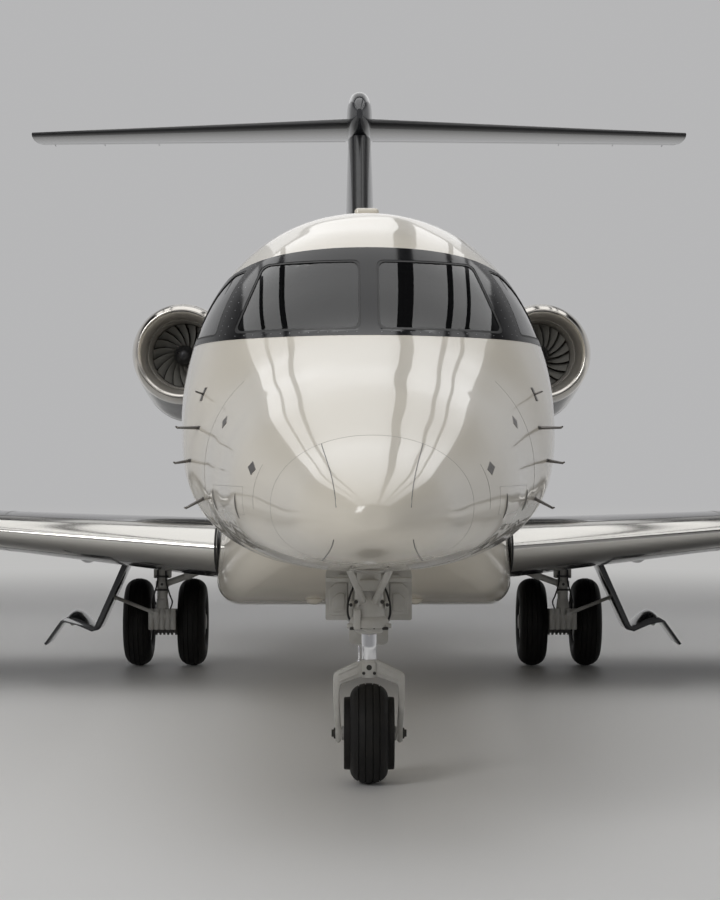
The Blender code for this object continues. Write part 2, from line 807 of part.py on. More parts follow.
def moving_ring(table, span, upright=False, tilt=INCIDENCE):
    """The section of a control surface with a round nose about its hinge."""
    part = nose_centre(table, span)
    how = {"upright": upright, "tilt": tilt}
    top = blade_point(table, span, part, 1, **how)
    centre = (top + blade_point(table, span, part, -1, **how)) / 2
    up = top - centre
    forward = Vector((0.0, -up.length, 0.0))
    ring = []
    for step in range(7):
        angle = math.radians(30 * step)
        ring.append(centre + up * math.cos(angle) + forward * math.sin(angle))
    for share, side in ((0.87, -1), (1.0, -1), (1.0, 1), (0.87, 1)):
        ring.append(blade_point(table, span, share, side, **how))
    return ring


def hinge(table, spans, upright=False, tilt=INCIDENCE):
    """The two ends of a control surface's hinge line."""
    ends = []
    for span in spans:
        part = nose_centre(table, span)
        pair = [blade_point(table, span, part, side, upright=upright, tilt=tilt) for side in (1, -1)]
        ends.append((pair[0] + pair[1]) / 2)
    return ends


def track_outline(span, first, last, grow=0.0):
    """The lengthwise shape of a flap track's fairing between two parts of the chord."""
    leading, chord, ratio, height = row_at(WING, span)
    outline = []
    steps = 5
    for step in range(steps + 1):
        share = step / steps
        part = mix(first, last, share)
        bulge = math.sin(math.pi * min(max((part - TRACK_START) / (1.02 - TRACK_START), 0.0), 1.0)) ** 0.7
        skin = blade_point(WING, span, part, -1)
        outline.append((skin.y, skin.z - 0.004 - TRACK_DEPTH * bulge - grow))
    for share in (1.0, 0.0):
        skin = blade_point(WING, span, mix(first, last, share), 0)
        outline.append((skin.y, skin.z))
    return outline


def track_piece(name, sign, first, last, half_width):
    """The fairings over the flap tracks, one piece of each."""
    shapes = []
    for n, (span, _) in enumerate(TRACKS):
        outline = track_outline(span, first, last)
        edges = (span - half_width, span + half_width)
        shapes.append(solid(f"{name}_{n}", [[(sign * x, y, z) for y, z in outline] for x in edges]))
    return gather(name, shapes)


def flap_axis(sign):
    """Two points on a flap's hinge line, which lies below the wing."""
    points = []
    for span, drop in TRACKS:
        centre = hinge(WING, (span,))[0]
        points.append(Vector((sign * centre.x, centre.y, centre.z - drop)))
    return points


def wing(side, sign):
    """One wing: its polished edge, its box with tracks and jack pad, its flap, aileron and winglet."""
    spans = (WING_ROOT, WING_BREAK, WING_TIP)
    edge_parts = (0.0, 0.008, 0.03, EDGE_PART - 0.0002)
    edge = [mirrored(blade_ring(WING, span, edge_parts), sign) for span in spans]
    solid(f"wing_leading_edge_{side}", edge, POLISHED)
    box_parts = (EDGE_PART, 0.2, 0.35, 0.52, BOX_END)
    box = solid(f"wing_{side}", [mirrored(blade_ring(WING, s, box_parts), sign) for s in spans], GRAPHITE)
    pad_top = blade_point(WING, PAD_SPAN, PAD_PART, 0)
    pad_skin = blade_point(WING, PAD_SPAN, PAD_PART, -1)
    foot = Vector((sign * pad_skin.x, pad_skin.y, pad_skin.z - PAD_DROP))
    pad = rods(f"jack_pad_{side}", [((sign * pad_top.x, pad_top.y, pad_top.z), foot, PAD_RADIUS)])
    combine(box, track_piece(f"track_front_{side}", sign, TRACK_START, BOX_END - 0.006, TRACK_HALF), pad)

    flap_spans = (FLAP_SPAN[0], WING_BREAK, FLAP_SPAN[1])
    flap = solid(f"flap_{side}", [mirrored(moving_ring(WING, s), sign) for s in flap_spans], GRAPHITE)
    combine(flap, track_piece(f"track_rear_{side}", sign, NOSE_PART + 0.012, 0.97, MOVING_TRACK_HALF))
    points = flap_axis(sign)
    line = (points[1] - points[0]).normalized()
    arms = []
    for point in points:
        for offset in (-1, 1):
            where = point + Vector((offset * (TRACK_HALF + 0.002), 0.03 - HINGE_ARM[1] / 2, 0.0))
            arms.append((HINGE_ARM, where))
    combine(box, blocks(f"flap_arms_{side}", arms))
    for n, point in enumerate(points):
        reach = line * (TRACK_HALF + 0.005)
        pinned(f"flap_{side}_{n}", box, flap, point - reach, point + reach)

    rings = [mirrored(moving_ring(WING, s), sign) for s in AILERON_SPAN]
    aileron = solid(f"aileron_{side}", rings, GRAPHITE)
    tip = winglet(side, sign)
    inner, outer = [Vector((sign * p.x, p.y, p.z)) for p in hinge(WING, AILERON_SPAN)]
    line = (outer - inner).normalized()
    pinned(f"aileron_tip_{side}", tip, aileron, outer - line * 0.05, outer + line * 0.07)
    bracket = Vector((sign * (FLAP_SPAN[1] + AILERON_SPAN[0]) / 2, inner.y - 0.04, inner.z))
    combine(box, blocks(f"aileron_bracket_{side}", [((0.014, 0.15, 0.03), bracket)]))
    pinned(f"aileron_root_{side}", box, aileron, inner - line * 0.016, inner + line * 0.05)


def winglet(side, sign):
    """The upturned tip of one wing."""
    parts = (0.0, 0.03, EDGE_PART, 0.3, 0.6, 1.0)
    base = row_at(WING, WING_TIP)[3]
    rings = []
    for span, leading, chord, ratio, rise, lean in WINGLET:
        normal = Vector((-math.sin(math.radians(lean)), 0.0, math.cos(math.radians(lean))))
        centre = Vector((span + SEAM, along(leading), base + rise))
        ring = []
        for share, face in [(p, 1) for p in parts] + [(p, -1) for p in parts[:0:-1]]:
            half = face * thickness(share) * ratio * chord
            ring.append(centre + Vector((0.0, share * chord, -INCIDENCE * share * chord)) + normal * half)
        rings.append(ring)
    upright = blade_ring(WING, WING_TIP, list(parts))
    rings[0] = [Vector((WING_TIP + SEAM, point.y, point.z)) for point in upright]
    return solid(f"winglet_{side}", [mirrored(ring, sign) for ring in rings], POLISHED)


def wing_outline(sign):
    """The whole wing box a little grown, which cuts what stands under it."""
    spans = (WING_ROOT, WING_BREAK, WING_TIP)
    parts = (0.02, 0.2, 0.35, 0.52, BOX_END)
    rings = [mirrored(blade_ring(WING, s, parts, grow=SEAM), sign) for s in spans]
    return solid(f"wing_outline_{sign}", rings)


def tail(fuselage_outline):
    """The fin, rudder, tailplane, elevators and the fairing where they meet."""
    parts = (0.0, 0.01, 0.05, 0.15, 0.32, 0.5, FIN_BOX_END)
    spans = [row[0] for row in FIN]
    fin = solid("fin", [blade_ring(FIN, s, parts, upright=True) for s in spans], GRAPHITE)
    combine(fin, fuselage_outline, operation="DIFFERENCE")
    rudder = solid("rudder", [moving_ring(FIN, s, upright=True) for s in RUDDER_SPAN], GRAPHITE)
    foot, top = hinge(FIN, RUDDER_SPAN, upright=True)
    line = (top - foot).normalized()
    combine(fin, blocks("rudder_bracket", [((0.04, 0.24, 0.04), foot + Vector((0.0, -0.12, -0.065)))]))
    pinned("rudder", fin, rudder, foot - line * 0.09, foot + line * 0.06)

    cut_parts = (0.0, 0.008, 0.04, 0.15, 0.35, 0.52, BOX_END)
    half = [blade_ring(TAILPLANE, row[0], cut_parts, tilt=0.0) for row in TAILPLANE]
    whole = [mirrored(half[1], -1), half[0], half[1]]
    solid("tailplane", whole, GRAPHITE)
    elevators = {}
    for side, sign in SIDES:
        rings = [mirrored(moving_ring(TAILPLANE, s, tilt=0.0), sign) for s in ELEVATOR_SPAN]
        elevators[side] = solid(f"elevator_{side}", rings, GRAPHITE)

    rings = [
        oval(station, half_width, top, bottom, (top + bottom) / 2, points=16, upper=2.4, lower=2.4)
        for station, half_width, top, bottom in BULLET
    ]
    bullet = solid("fin_tip_fairing", rings, GRAPHITE)
    grown = [blade_ring(FIN, s, parts, upright=True, grow=SEAM) for s in spans]
    grown = [[Vector((p.x, p.y, p.z + (SEAM if k else 0.0))) for p in ring] for k, ring in enumerate(grown)]
    fin_cut = solid("fin_outline", [stretched(ring) for ring in grown])
    plane = [blade_ring(TAILPLANE, span, cut_parts, tilt=0.0, grow=SEAM) for span in (0.0, 0.6)]
    plane = [stretched(ring) for ring in plane]
    plane_cut = solid("tailplane_outline", [mirrored(plane[1], -1), plane[0], plane[1]])
    combine(bullet, fin_cut, plane_cut, operation="DIFFERENCE")
    for side, sign in SIDES:
        inner, outer = [Vector((sign * p.x, p.y, p.z)) for p in hinge(TAILPLANE, ELEVATOR_SPAN, tilt=0.0)]
        line = (outer - inner).normalized()
        pinned(f"elevator_{side}", bullet, elevators[side], inner - line * 0.08, inner + line * 0.05)


def stretched(ring):
    """A ring moved outwards at its front and back by a seam."""
    first = min(point[1] for point in ring)
    last = max(point[1] for point in ring)
    middle = (first + last) / 2
    factor = 1 + 2 * SEAM / (last - first)
    return [Vector((x, middle + (y - middle) * factor, z)) for x, y, z in ring]


TURN_AFT = Matrix.Rotation(-math.pi / 2, 3, "X")
TURN_SIDE = Matrix.Rotation(math.pi / 2, 3, "Y")


def aft_profile(rows):
    """A profile of radius and station as radius and height, from the back to the front."""
    return [(radius, along(station)) for radius, station in rows[::-1]]


def nacelle_ring(station, half_width, top, bottom, sign, grow=0.0):
    """A section of the nacelle's outside, deeper below for the gearbox."""
    return oval(station, half_width + grow, ENGINE_Z + top + grow, ENGINE_Z - bottom - grow, ENGINE_Z,
                centre_x=sign * ENGINE_X, points=DUCT_POINTS)


def engine(side, sign, fuselage_outline):
    """One engine: nacelle, polished lip, fan, core and pylon."""
    axis = (sign * ENGINE_X, 0.0, ENGINE_Z)
    outer = [nacelle_ring(*row, sign) for row in NACELLE]
    inner = [
        oval(station, radius, ENGINE_Z + radius, ENGINE_Z - radius, ENGINE_Z,
             centre_x=sign * ENGINE_X, points=DUCT_POINTS)
        for station, radius in DUCT
    ]
    solid(f"nacelle_{side}", outer + inner[::-1], GRAPHITE, loop=True)
    lip = [(radius, station - (SEAM if station == LIP_END else 0.0)) for radius, station in LIP]
    profile = [(radius, along(station)) for radius, station in lip]
    turned(f"inlet_lip_{side}", profile, TURN_AFT, axis, DUCT_POINTS, POLISHED, closed=True)

    hub = turned(f"fan_{side}", aft_profile(SPINNER), TURN_AFT, axis, 16, DARK)
    boxes = []
    for n in range(BLADES):
        spin = Matrix.Rotation(math.tau * n / BLADES, 4, "Y")
        twist = Matrix.Rotation(math.radians(BLADE_TWIST), 4, "Z")
        length = FAN_RADIUS - 0.06
        middle = Matrix.Translation((0.0, 0.0, 0.06 + length / 2))
        spot = Matrix.Translation((axis[0], along(FAN_STATION), ENGINE_Z)) @ spin @ middle @ twist
        boxes.append(((BLADE[0], BLADE[1], length), spot))
    combine(hub, blocks(f"fan_blades_{side}", boxes))

    core = turned(f"engine_core_{side}", aft_profile(CORE), TURN_AFT, axis, 20, STEEL)
    thick, run, reach = STRUT
    spot = (axis[0], along(STRUT_STATION), ENGINE_Z)
    combine(
        core,
        blocks(f"strut_across_{side}", [((reach, run, thick), spot)]),
        blocks(f"strut_upright_{side}", [((thick, run * 0.9, reach), spot)]),
    )

    first, last, half = PYLON
    outline = [
        (first, 0.0), (first + 0.12, half * 0.7), (first + 0.5, half), (last - 0.7, half * 0.85),
        (last, 0.012), (last, -0.012), (last - 0.7, -half * 0.85), (first + 0.5, -half),
        (first + 0.12, -half * 0.7),
    ]
    rings = [[(sign * x, along(s), ENGINE_Z + z) for s, z in outline] for x in (0.45, 1.35)]
    pylon = solid(f"pylon_{side}", rings, GRAPHITE)
    cut = solid(f"nacelle_outline_{side}", [nacelle_ring(*row, sign, grow=SEAM) for row in NACELLE])
    combine(pylon, fuselage_outline, cut, operation="DIFFERENCE")


def tyre_profile(radius, width, rim, chine=0.0):
    """A tyre's closed section as radius and height along the axle, down its outer side and up inside."""
    half = width / 2
    crown = radius / math.cos(math.pi / TYRE_STEPS)
    upper = [
        (rim + 0.012, half * 0.86),
        (mix(rim, crown, 0.55), half),
        (mix(rim, crown, 0.9), half * 0.9),
        (crown, half * 0.62),
    ]
    if chine:
        shelf = mix(rim, crown, 0.62)
        shoulder = (mix(rim, crown, 0.86), half * 0.93)
        upper[1:3] = [(shelf - 0.012, half), (shelf, chine), (shelf + 0.02, chine), shoulder]
    lower = [(r, -h) for r, h in upper[::-1]]
    return upper + lower + [(rim, -half * 0.8), (rim, half * 0.8)]


def wheel_turn():
    """The turn that lays a turned piece's axis along X with a flat facing down."""
    flat = Matrix.Rotation(math.pi / TYRE_STEPS, 3, "X")
    return flat @ TURN_SIDE


def main_gear(side, sign, wing_cut):
    """One main leg with its trailing arm, twin wheels and door."""
    x = sign * MAIN_X
    leg_y, axle_y = along(LEG_STATION), along(MAIN_STATION)
    knee = Vector((x, leg_y, PIVOT_HEIGHT))
    hip = Vector((x, leg_y, LEG_TOP))
    across = Vector((0.075, 0.0, 0.0))
    leg = rods(f"main_gear_leg_{side}", [(knee, hip, LEG_RADIUS)], GEAR_GREY)
    pivot = rods(f"gear_pivot_{side}", [(knee - across, knee + across, 0.055)])
    arm = rods(f"trailing_arm_{side}", [(knee, (x, axle_y, MAIN_RADIUS), 0.042)])
    brake = rods(
        f"axle_housing_{side}",
        [((x - BRAKE_HALF, axle_y, MAIN_RADIUS), (x + BRAKE_HALF, axle_y, MAIN_RADIUS), BRAKE_RADIUS)],
        sides=16,
    )
    damper = rods(f"gear_damper_{side}", [((x, leg_y + 0.22, 0.385), (x, leg_y + 0.045, LEG_TOP), 0.03)])
    brace = rods(f"side_brace_{side}", [((x, leg_y, 0.56), (sign * 1.13, leg_y, 0.90), 0.022)])
    bore = rods(
        f"axle_bore_{side}",
        [((x - 0.2, axle_y, MAIN_RADIUS), (x + 0.2, axle_y, MAIN_RADIUS),
          (AXLE_RADIUS + SEAM) / math.cos(math.pi / TYRE_STEPS))],
        sides=TYRE_STEPS,
    )
    combine(leg, pivot, arm, brake, damper, brace)
    combine(leg, bore, wing_cut, operation="DIFFERENCE")

    rim_in, rim_out = TWIN_HALF - 0.085, TWIN_HALF + 0.085
    half = [
        (0.0, rim_out + 0.02), (0.06, rim_out + 0.02), (0.075, rim_out - 0.01),
        (MAIN_RIM - 0.03, rim_out - 0.01), (MAIN_RIM, rim_out), (MAIN_RIM, rim_in), (AXLE_RADIUS, rim_in),
    ]
    profile = half + [(radius, -height) for radius, height in half[::-1]]
    centre = (x, axle_y, MAIN_RADIUS)
    turned(f"main_rims_{side}", profile, wheel_turn(), centre, TYRE_STEPS, GEAR_GREY)
    for spot, offset in (("inner", -TWIN_HALF), ("outer", TWIN_HALF)):
        profile = tyre_profile(MAIN_RADIUS, MAIN_WIDTH, MAIN_RIM + SEAM)
        where = (x + sign * offset, axle_y, MAIN_RADIUS)
        turned(f"main_tyre_{spot}_{side}", profile, wheel_turn(), where, TYRE_STEPS, RUBBER, closed=True)

    line = [Vector(point) for point in MAIN_DOOR]
    offsets = []
    for i, point in enumerate(line):
        before = (point - line[i - 1]).normalized() if i else (line[1] - point).normalized()
        after = (line[i + 1] - point).normalized() if i < len(line) - 1 else before
        normal = Vector((before.y + after.y, -before.x - after.x)).normalized()
        offsets.append(normal * DOOR_PLATE / 2 / max(normal.dot(Vector((before.y, -before.x))), 0.4))
    outline = [p + d for p, d in zip(line, offsets)] + [p - d for p, d in list(zip(line, offsets))[::-1]]
    rings = [[(sign * p.x, along(s), p.y) for p in outline] for s in MAIN_DOOR_RUN]
    plate = solid(f"main_gear_door_{side}", rings, GRAPHITE)
    rod = rods(
        f"door_rod_{side}",
        [((sign * (MAIN_X + LEG_RADIUS + SEAM), leg_y, 0.52), (sign * 1.865, leg_y, 0.52), 0.014)],
    )
    combine(plate, rod)
    combine(plate, wing_cut, operation="DIFFERENCE")


def nose_gear(fuselage_outline):
    """The nose leg with its brace and door, and the steered fork with its wheel."""
    y = along(NOSE_STATION)
    foot = Vector((0.0, y, CYLINDER_BASE))
    low, high = Vector((0.0, 0.0, 0.03)), Vector((0.0, 0.0, 0.09))
    leg = rods("nose_gear_leg", [(foot, (0.0, y, 1.2), CYLINDER_RADIUS)], GEAR_GREY, sides=16)
    collar = rods("leg_collar", [(foot + low, foot + high, 0.095)], sides=16)
    braces = [
        rods(f"drag_brace_{side}", [((sign * 0.02, y - 0.05, 0.90), (sign * 0.15, along(1.72), 1.18), 0.02)])
        for side, sign in SIDES
    ]
    combine(leg, collar, *braces)
    combine(leg, fuselage_outline, operation="DIFFERENCE")
    width, depth, low, high = CROWN
    ends = ((0.0, y, high + SEAM), (0.0, y, CYLINDER_BASE - SEAM))
    rods("nose_piston", [(*ends, PISTON_RADIUS)], CHROME, sides=16)

    crown = blocks("nose_fork", [((width, depth, high - low), (0.0, y, (high + low) / 2))], GEAR_GREY)
    outline = [*FORK, *[(-x, z) for x, z in FORK[::-1]]]
    faces = (y - FORK_DEPTH / 2, y + FORK_DEPTH / 2)
    combine(crown, solid("fork_arms", [[(x, face, z) for x, z in outline] for face in faces]))

    hub_half = FORK_INNER - 0.0005
    half = [(0.0, hub_half), (0.035, hub_half), (0.04, 0.07), (NOSE_RIM - 0.03, 0.055), (NOSE_RIM, 0.07)]
    profile = half + [(radius, -height) for radius, height in half[::-1]]
    centre = (0.0, y, NOSE_RADIUS)
    turned("nose_rim", profile, wheel_turn(), centre, TYRE_STEPS, GEAR_GREY)
    profile = tyre_profile(NOSE_RADIUS, NOSE_WIDTH, NOSE_RIM + SEAM, CHINE)
    turned("nose_tyre", profile, wheel_turn(), centre, TYRE_STEPS, RUBBER, closed=True)

    door_y = along(NOSE_DOOR_STATION)
    plates = [
        ((width, 0.02, high - low), (0.0, door_y, (high + low) / 2))
        for width, low, high in (NOSE_DOOR_TOP, NOSE_DOOR_FOOT)
    ]
    plate = blocks("nose_gear_door", plates[:1], WHITE)
    gap = NOSE_STATION + CYLINDER_RADIUS + SEAM
    link = ((0.04, NOSE_DOOR_STATION - gap, 0.04), (0.0, along((gap + NOSE_DOOR_STATION) / 2), 0.88))
    combine(plate, blocks("door_foot", plates[1:]), blocks("door_link", [link]))
    combine(plate, fuselage_outline, operation="DIFFERENCE")


fuselage_nose()
fuselage_cabin()
cabin_fittings()
FUSELAGE_OUTLINE = belly()
for SIDE, SIGN in SIDES:
    wing(SIDE, SIGN)
    engine(SIDE, SIGN, FUSELAGE_OUTLINE)
    main_gear(SIDE, SIGN, wing_outline(SIGN))
tail(FUSELAGE_OUTLINE)
nose_gear(FUSELAGE_OUTLINE)
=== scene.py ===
"""The looks of a light business jet standing on its landing gear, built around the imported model."""

import math

import bmesh
import bpy
from mathutils import Matrix, Vector


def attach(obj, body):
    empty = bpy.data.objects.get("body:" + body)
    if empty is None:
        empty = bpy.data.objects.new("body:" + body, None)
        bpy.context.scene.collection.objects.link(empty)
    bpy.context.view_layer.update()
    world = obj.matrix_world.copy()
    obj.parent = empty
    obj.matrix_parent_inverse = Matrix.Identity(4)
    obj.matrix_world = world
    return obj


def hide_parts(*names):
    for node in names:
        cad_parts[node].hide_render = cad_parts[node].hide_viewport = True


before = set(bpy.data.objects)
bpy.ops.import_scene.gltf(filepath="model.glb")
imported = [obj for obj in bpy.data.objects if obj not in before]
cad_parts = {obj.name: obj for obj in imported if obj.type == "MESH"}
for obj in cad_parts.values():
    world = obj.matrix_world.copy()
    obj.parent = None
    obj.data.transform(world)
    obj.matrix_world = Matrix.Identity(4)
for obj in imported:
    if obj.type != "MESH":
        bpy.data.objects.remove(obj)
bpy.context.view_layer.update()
SIDES = (("left", 1), ("right", -1))

# Fuselage skin
# Four stretches of stressed aluminium skin and a composite radome, butt-jointed, filled and sprayed.
# The rings follow one table of sections, with superellipses above and below the widest height.
LENGTH = 16.85
RADOME_END = 0.7
COCKPIT_END = 3.95
CABIN_END = 11.0
TAIL_END = 15.3
TAIL_HOLLOW_END = 14.4
WALL = 0.07
TAIL_WALL = 0.05
SEAM = 0.0003
SHARP = 32
RING_POINTS = 112
UPPER_FULLNESS = 2.08
LOWER_FULLNESS = 2.35
FUSELAGE = (
    # station, half_width, top, bottom, widest
    (0.0, 0.03, 1.375, 1.31, 1.34),
    (0.1, 0.17, 1.47, 1.24, 1.345),
    (0.3, 0.29, 1.55, 1.19, 1.36),
    (0.7, 0.42, 1.67, 1.13, 1.38),
    (1.2, 0.60, 1.87, 1.085, 1.43),
    (2.1, 0.79, 2.17, 1.04, 1.52),
    (2.6, 0.92, 2.46, 1.015, 1.64),
    (2.95, 0.955, 2.66, 1.005, 1.73),
    (3.3, 0.975, 2.80, 1.0, 1.80),
    (3.95, 0.98, 2.94, 1.0, 1.90),
    (10.4, 0.98, 2.94, 1.0, 1.90),
    (11.0, 0.93, 2.93, 1.12, 1.93),
    (12.0, 0.80, 2.91, 1.38, 2.05),
    (13.0, 0.60, 2.87, 1.72, 2.25),
    (14.0, 0.38, 2.83, 2.08, 2.43),
    (15.0, 0.15, 2.80, 2.42, 2.60),
    (15.3, 0.07, 2.775, 2.54, 2.655),
)


class Value:
    """A number or colour on its way through nodes, with Python's operators as Math nodes."""

    def __init__(self, nodes, socket):
        self.nodes = nodes
        self.socket = socket

    def maths(self, operation, first, second):
        """The result of a Math node."""
        return self.nodes.node("ShaderNodeMath", {"operation": operation}, {0: first, 1: second})

    def __add__(self, other):
        return self.maths("ADD", self, other)

    def __sub__(self, other):
        return self.maths("SUBTRACT", self, other)

    def __mul__(self, other):
        return self.maths("MULTIPLY", self, other)

    def __pow__(self, other):
        return self.maths("POWER", self, other)

    def step(self, edge, soft=0.001):
        """Nought below an edge and one above it, with a soft change between."""
        return self.nodes.ramp(self, edge - soft, edge + soft)


class Nodes:
    """The nodes of one tree and the coordinates that they start from."""

    def __init__(self, tree, space):
        self.tree = tree
        self.place = self.node("ShaderNodeTexCoord", output=space)

    def feed(self, node, sockets):
        """Set or link the sockets of a node."""
        for key, value in sockets.items():
            socket = node.inputs[key]
            if isinstance(value, Value):
                self.tree.links.new(value.socket, socket)
            elif isinstance(value, tuple) and len(value) == 3 and socket.type == "RGBA":
                socket.default_value = (*value, 1.0)
            else:
                socket.default_value = value

    def node(self, kind, settings=None, sockets=None, output=0):
        """A new node with its settings made first and its sockets fed after."""
        made = self.tree.nodes.new(kind)
        for key, value in (settings or {}).items():
            setattr(made, key, value)
        self.feed(made, sockets or {})
        return Value(self, made.outputs[output])

    def colours(self, share, first, second):
        """A mix of two colours."""
        return self.node("ShaderNodeMix", {"data_type": "RGBA"}, {0: share, 6: first, 7: second}, output=2)

    def ramp(self, value, low, high, smooth=False):
        """Nought up to a low value and one from a high value on, straight or eased between."""
        settings = {"interpolation_type": "SMOOTHSTEP" if smooth else "LINEAR"}
        return self.node("ShaderNodeMapRange", settings, {"Value": value, "From Min": low, "From Max": high})

    def axis(self, name):
        """One of the coordinates."""
        return self.node("ShaderNodeSeparateXYZ", None, {0: self.place}, output=name)


class Finish(Nodes):
    """A named finish: one Principled shader, the nodes that feed it and the record's slot it stands for."""

    def __init__(self, name, slot, **sockets):
        self.slot = slot
        self.material = bpy.data.materials.new(name)
        self.material.use_nodes = True
        super().__init__(self.material.node_tree, "Object")
        self.shader = self.tree.nodes["Principled BSDF"]
        self.set({key.replace("_", " "): value for key, value in sockets.items()})

    def noise(self, scale, detail=2.0, stretch=None, centre=0.5):
        """Noise about nought over the piece's own coordinates, which stretch may squeeze along an axis."""
        place = self.place
        if stretch:
            place = self.node("ShaderNodeMapping", None, {"Vector": place, "Scale": stretch})
        field = {"Vector": place, "Scale": scale, "Detail": detail}
        return self.node("ShaderNodeTexNoise", None, field) - centre

    def cells(self, scale, output="Distance"):
        """A cell pattern over the piece's own coordinates."""
        return self.node("ShaderNodeTexVoronoi", None, {"Vector": self.place, "Scale": scale}, output=output)

    def bump(self, height, distance, strength=1.0):
        """Let a height times a distance in metres stand on the surface."""
        sockets = {"Height": height, "Distance": distance, "Strength": strength}
        self.set({"Normal": self.node("ShaderNodeBump", None, sockets)})
        return self

    def set(self, sockets):
        """Set or link sockets of the shader."""
        self.feed(self.shader, sockets)

    def rough(self, scale, detail, amount, middle, **how):
        """Let the roughness waver about a middle value."""
        self.set({"Roughness": self.noise(scale, detail, **how) * amount + middle})
        return self

    def toned(self, share, first, second):
        """Let the base colour vary between two colours."""
        self.set({"Base Color": self.colours(share, first, second)})
        return self


ORANGE_PEEL = 0.00002


def gloss_paint(name, slot, colour, deep, roughness, wave=0.0, **sockets):
    """Sprayed enamel under clear lacquer, with orange peel and the long waves of a hand-filled skin."""
    paint = Finish(name, slot, Coat_Weight=0.6, Coat_Roughness=roughness, **sockets)
    paint.toned(paint.noise(0.9, 4.0, centre=0.0), colour, deep).rough(5.0, 5.0, 0.03, 0.035)
    return paint.bump(paint.noise(90.0, 1.0) * ORANGE_PEEL + paint.noise(1.5, 1.0) * wave, 1.0)


CREAM_TONE = (0.785, 0.735, 0.64)
CREAM_DEEP = (0.75, 0.70, 0.60)
GRAPHITE_TONE = (0.020, 0.021, 0.024)
GRAPHITE_DEEP = (0.030, 0.031, 0.035)
STRIPE_TONE = (0.42, 0.33, 0.20)
SWEEP_FOOT = 4.6
SWEEP_LEAN = 1.35
STRIPE_GAP = 0.07
STRIPE_WIDTH = 0.035


def two_tone():
    """The cream gloss, which gives way to graphite along a raked line at the tail, behind a bronze stripe."""
    paint = gloss_paint("cream_gloss", "cream_white", CREAM_TONE, CREAM_DEEP, 0.26, wave=0.028)
    raked = paint.axis("Y") + paint.axis("Z") * SWEEP_LEAN - (SWEEP_FOOT + SWEEP_LEAN)
    cream = paint.shader.inputs["Base Color"].links[0].from_socket
    stripe = raked.step(-STRIPE_GAP - STRIPE_WIDTH) - raked.step(-STRIPE_GAP)
    banded = paint.colours(stripe, Value(paint, cream), STRIPE_TONE)
    return paint.toned(raked.step(0.0), banded, GRAPHITE_TONE)


CREAM = two_tone()
GRAPHITE = gloss_paint("graphite_gloss", "graphite", GRAPHITE_TONE, GRAPHITE_DEEP, 0.22)
SEALANT = Finish("joint_sealant", "rubber", Base_Color=(0.33, 0.315, 0.29), Roughness=0.5)


def along(station):
    """The Y coordinate of a station, which runs aft from the tip of the nose."""
    return station - LENGTH / 2


def curve_row(table, spot):
    """The values of a table's row at a place along its first column, by a curve that never overshoots."""
    spot = min(max(spot, table[0][0]), table[-1][0])
    knots = [math.sqrt(row[0]) for row in table]
    place = math.sqrt(spot)
    i = max(k for k in range(len(knots) - 1) if knots[k] <= place)
    width = knots[i + 1] - knots[i]
    share = (place - knots[i]) / width
    values = []
    for column in range(1, len(table[0])):
        ramps = [(table[k + 1][column] - table[k][column]) / (knots[k + 1] - knots[k])
                 for k in range(len(knots) - 1)]
        slopes = []
        for k in (i, i + 1):
            before = ramps[max(k - 1, 0)]
            after = ramps[min(k, len(ramps) - 1)]
            slopes.append(0.0 if before * after <= 0 else 2 * before * after / (before + after))
        low, high = table[i][column], table[i + 1][column]
        values.append(
            low * (1 + 2 * share) * (1 - share) ** 2
            + high * share**2 * (3 - 2 * share)
            + width * slopes[0] * share * (1 - share) ** 2
            - width * slopes[1] * share**2 * (1 - share)
        )
    return values


def faired_row(table, station, longest=0.16):
    """A row of the table averaged over a short run, which takes the kinks out of the highlights."""
    reach = min(longest, (station - table[0][0]) * 0.3)
    weights = (1, 4, 6, 4, 1)
    rows = [curve_row(table, station + reach * step / 2) for step in (-2, -1, 0, 1, 2)]
    return [sum(w * row[k] for w, row in zip(weights, rows)) / 16 for k in range(len(rows[0]))]


def oval(station, half_width, top, bottom, widest, centre_x=0.0, points=RING_POINTS, upper=2.0, lower=2.0):
    """A ring of points whose upper and lower halves have their own height and fullness."""
    ring = []
    for i in range(points):
        angle = math.tau * i / points
        side, rise = math.cos(angle), math.sin(angle)
        power = 2 / (upper if rise >= 0 else lower)
        reach = top - widest if rise >= 0 else widest - bottom
        x = half_width * math.copysign(abs(side) ** power, side)
        z = reach * math.copysign(abs(rise) ** power, rise)
        ring.append(Vector((centre_x + x, along(station), widest + z)))
    return ring


def hull_ring(station, grow=0.0):
    """The fuselage's section at a station, grown outwards or inwards."""
    half_width, top, bottom, widest = faired_row(FUSELAGE, station)
    return oval(station, half_width + grow, top + grow, bottom - grow, widest,
                upper=UPPER_FULLNESS, lower=LOWER_FULLNESS)


def spread(first, last, count):
    """Evenly spread numbers from first to last."""
    return [first + (last - first) * i / (count - 1) for i in range(count)]


def turns(count, start=0.0):
    """Angles at even steps once round."""
    return spread(start, start + math.tau, count + 1)[:-1]


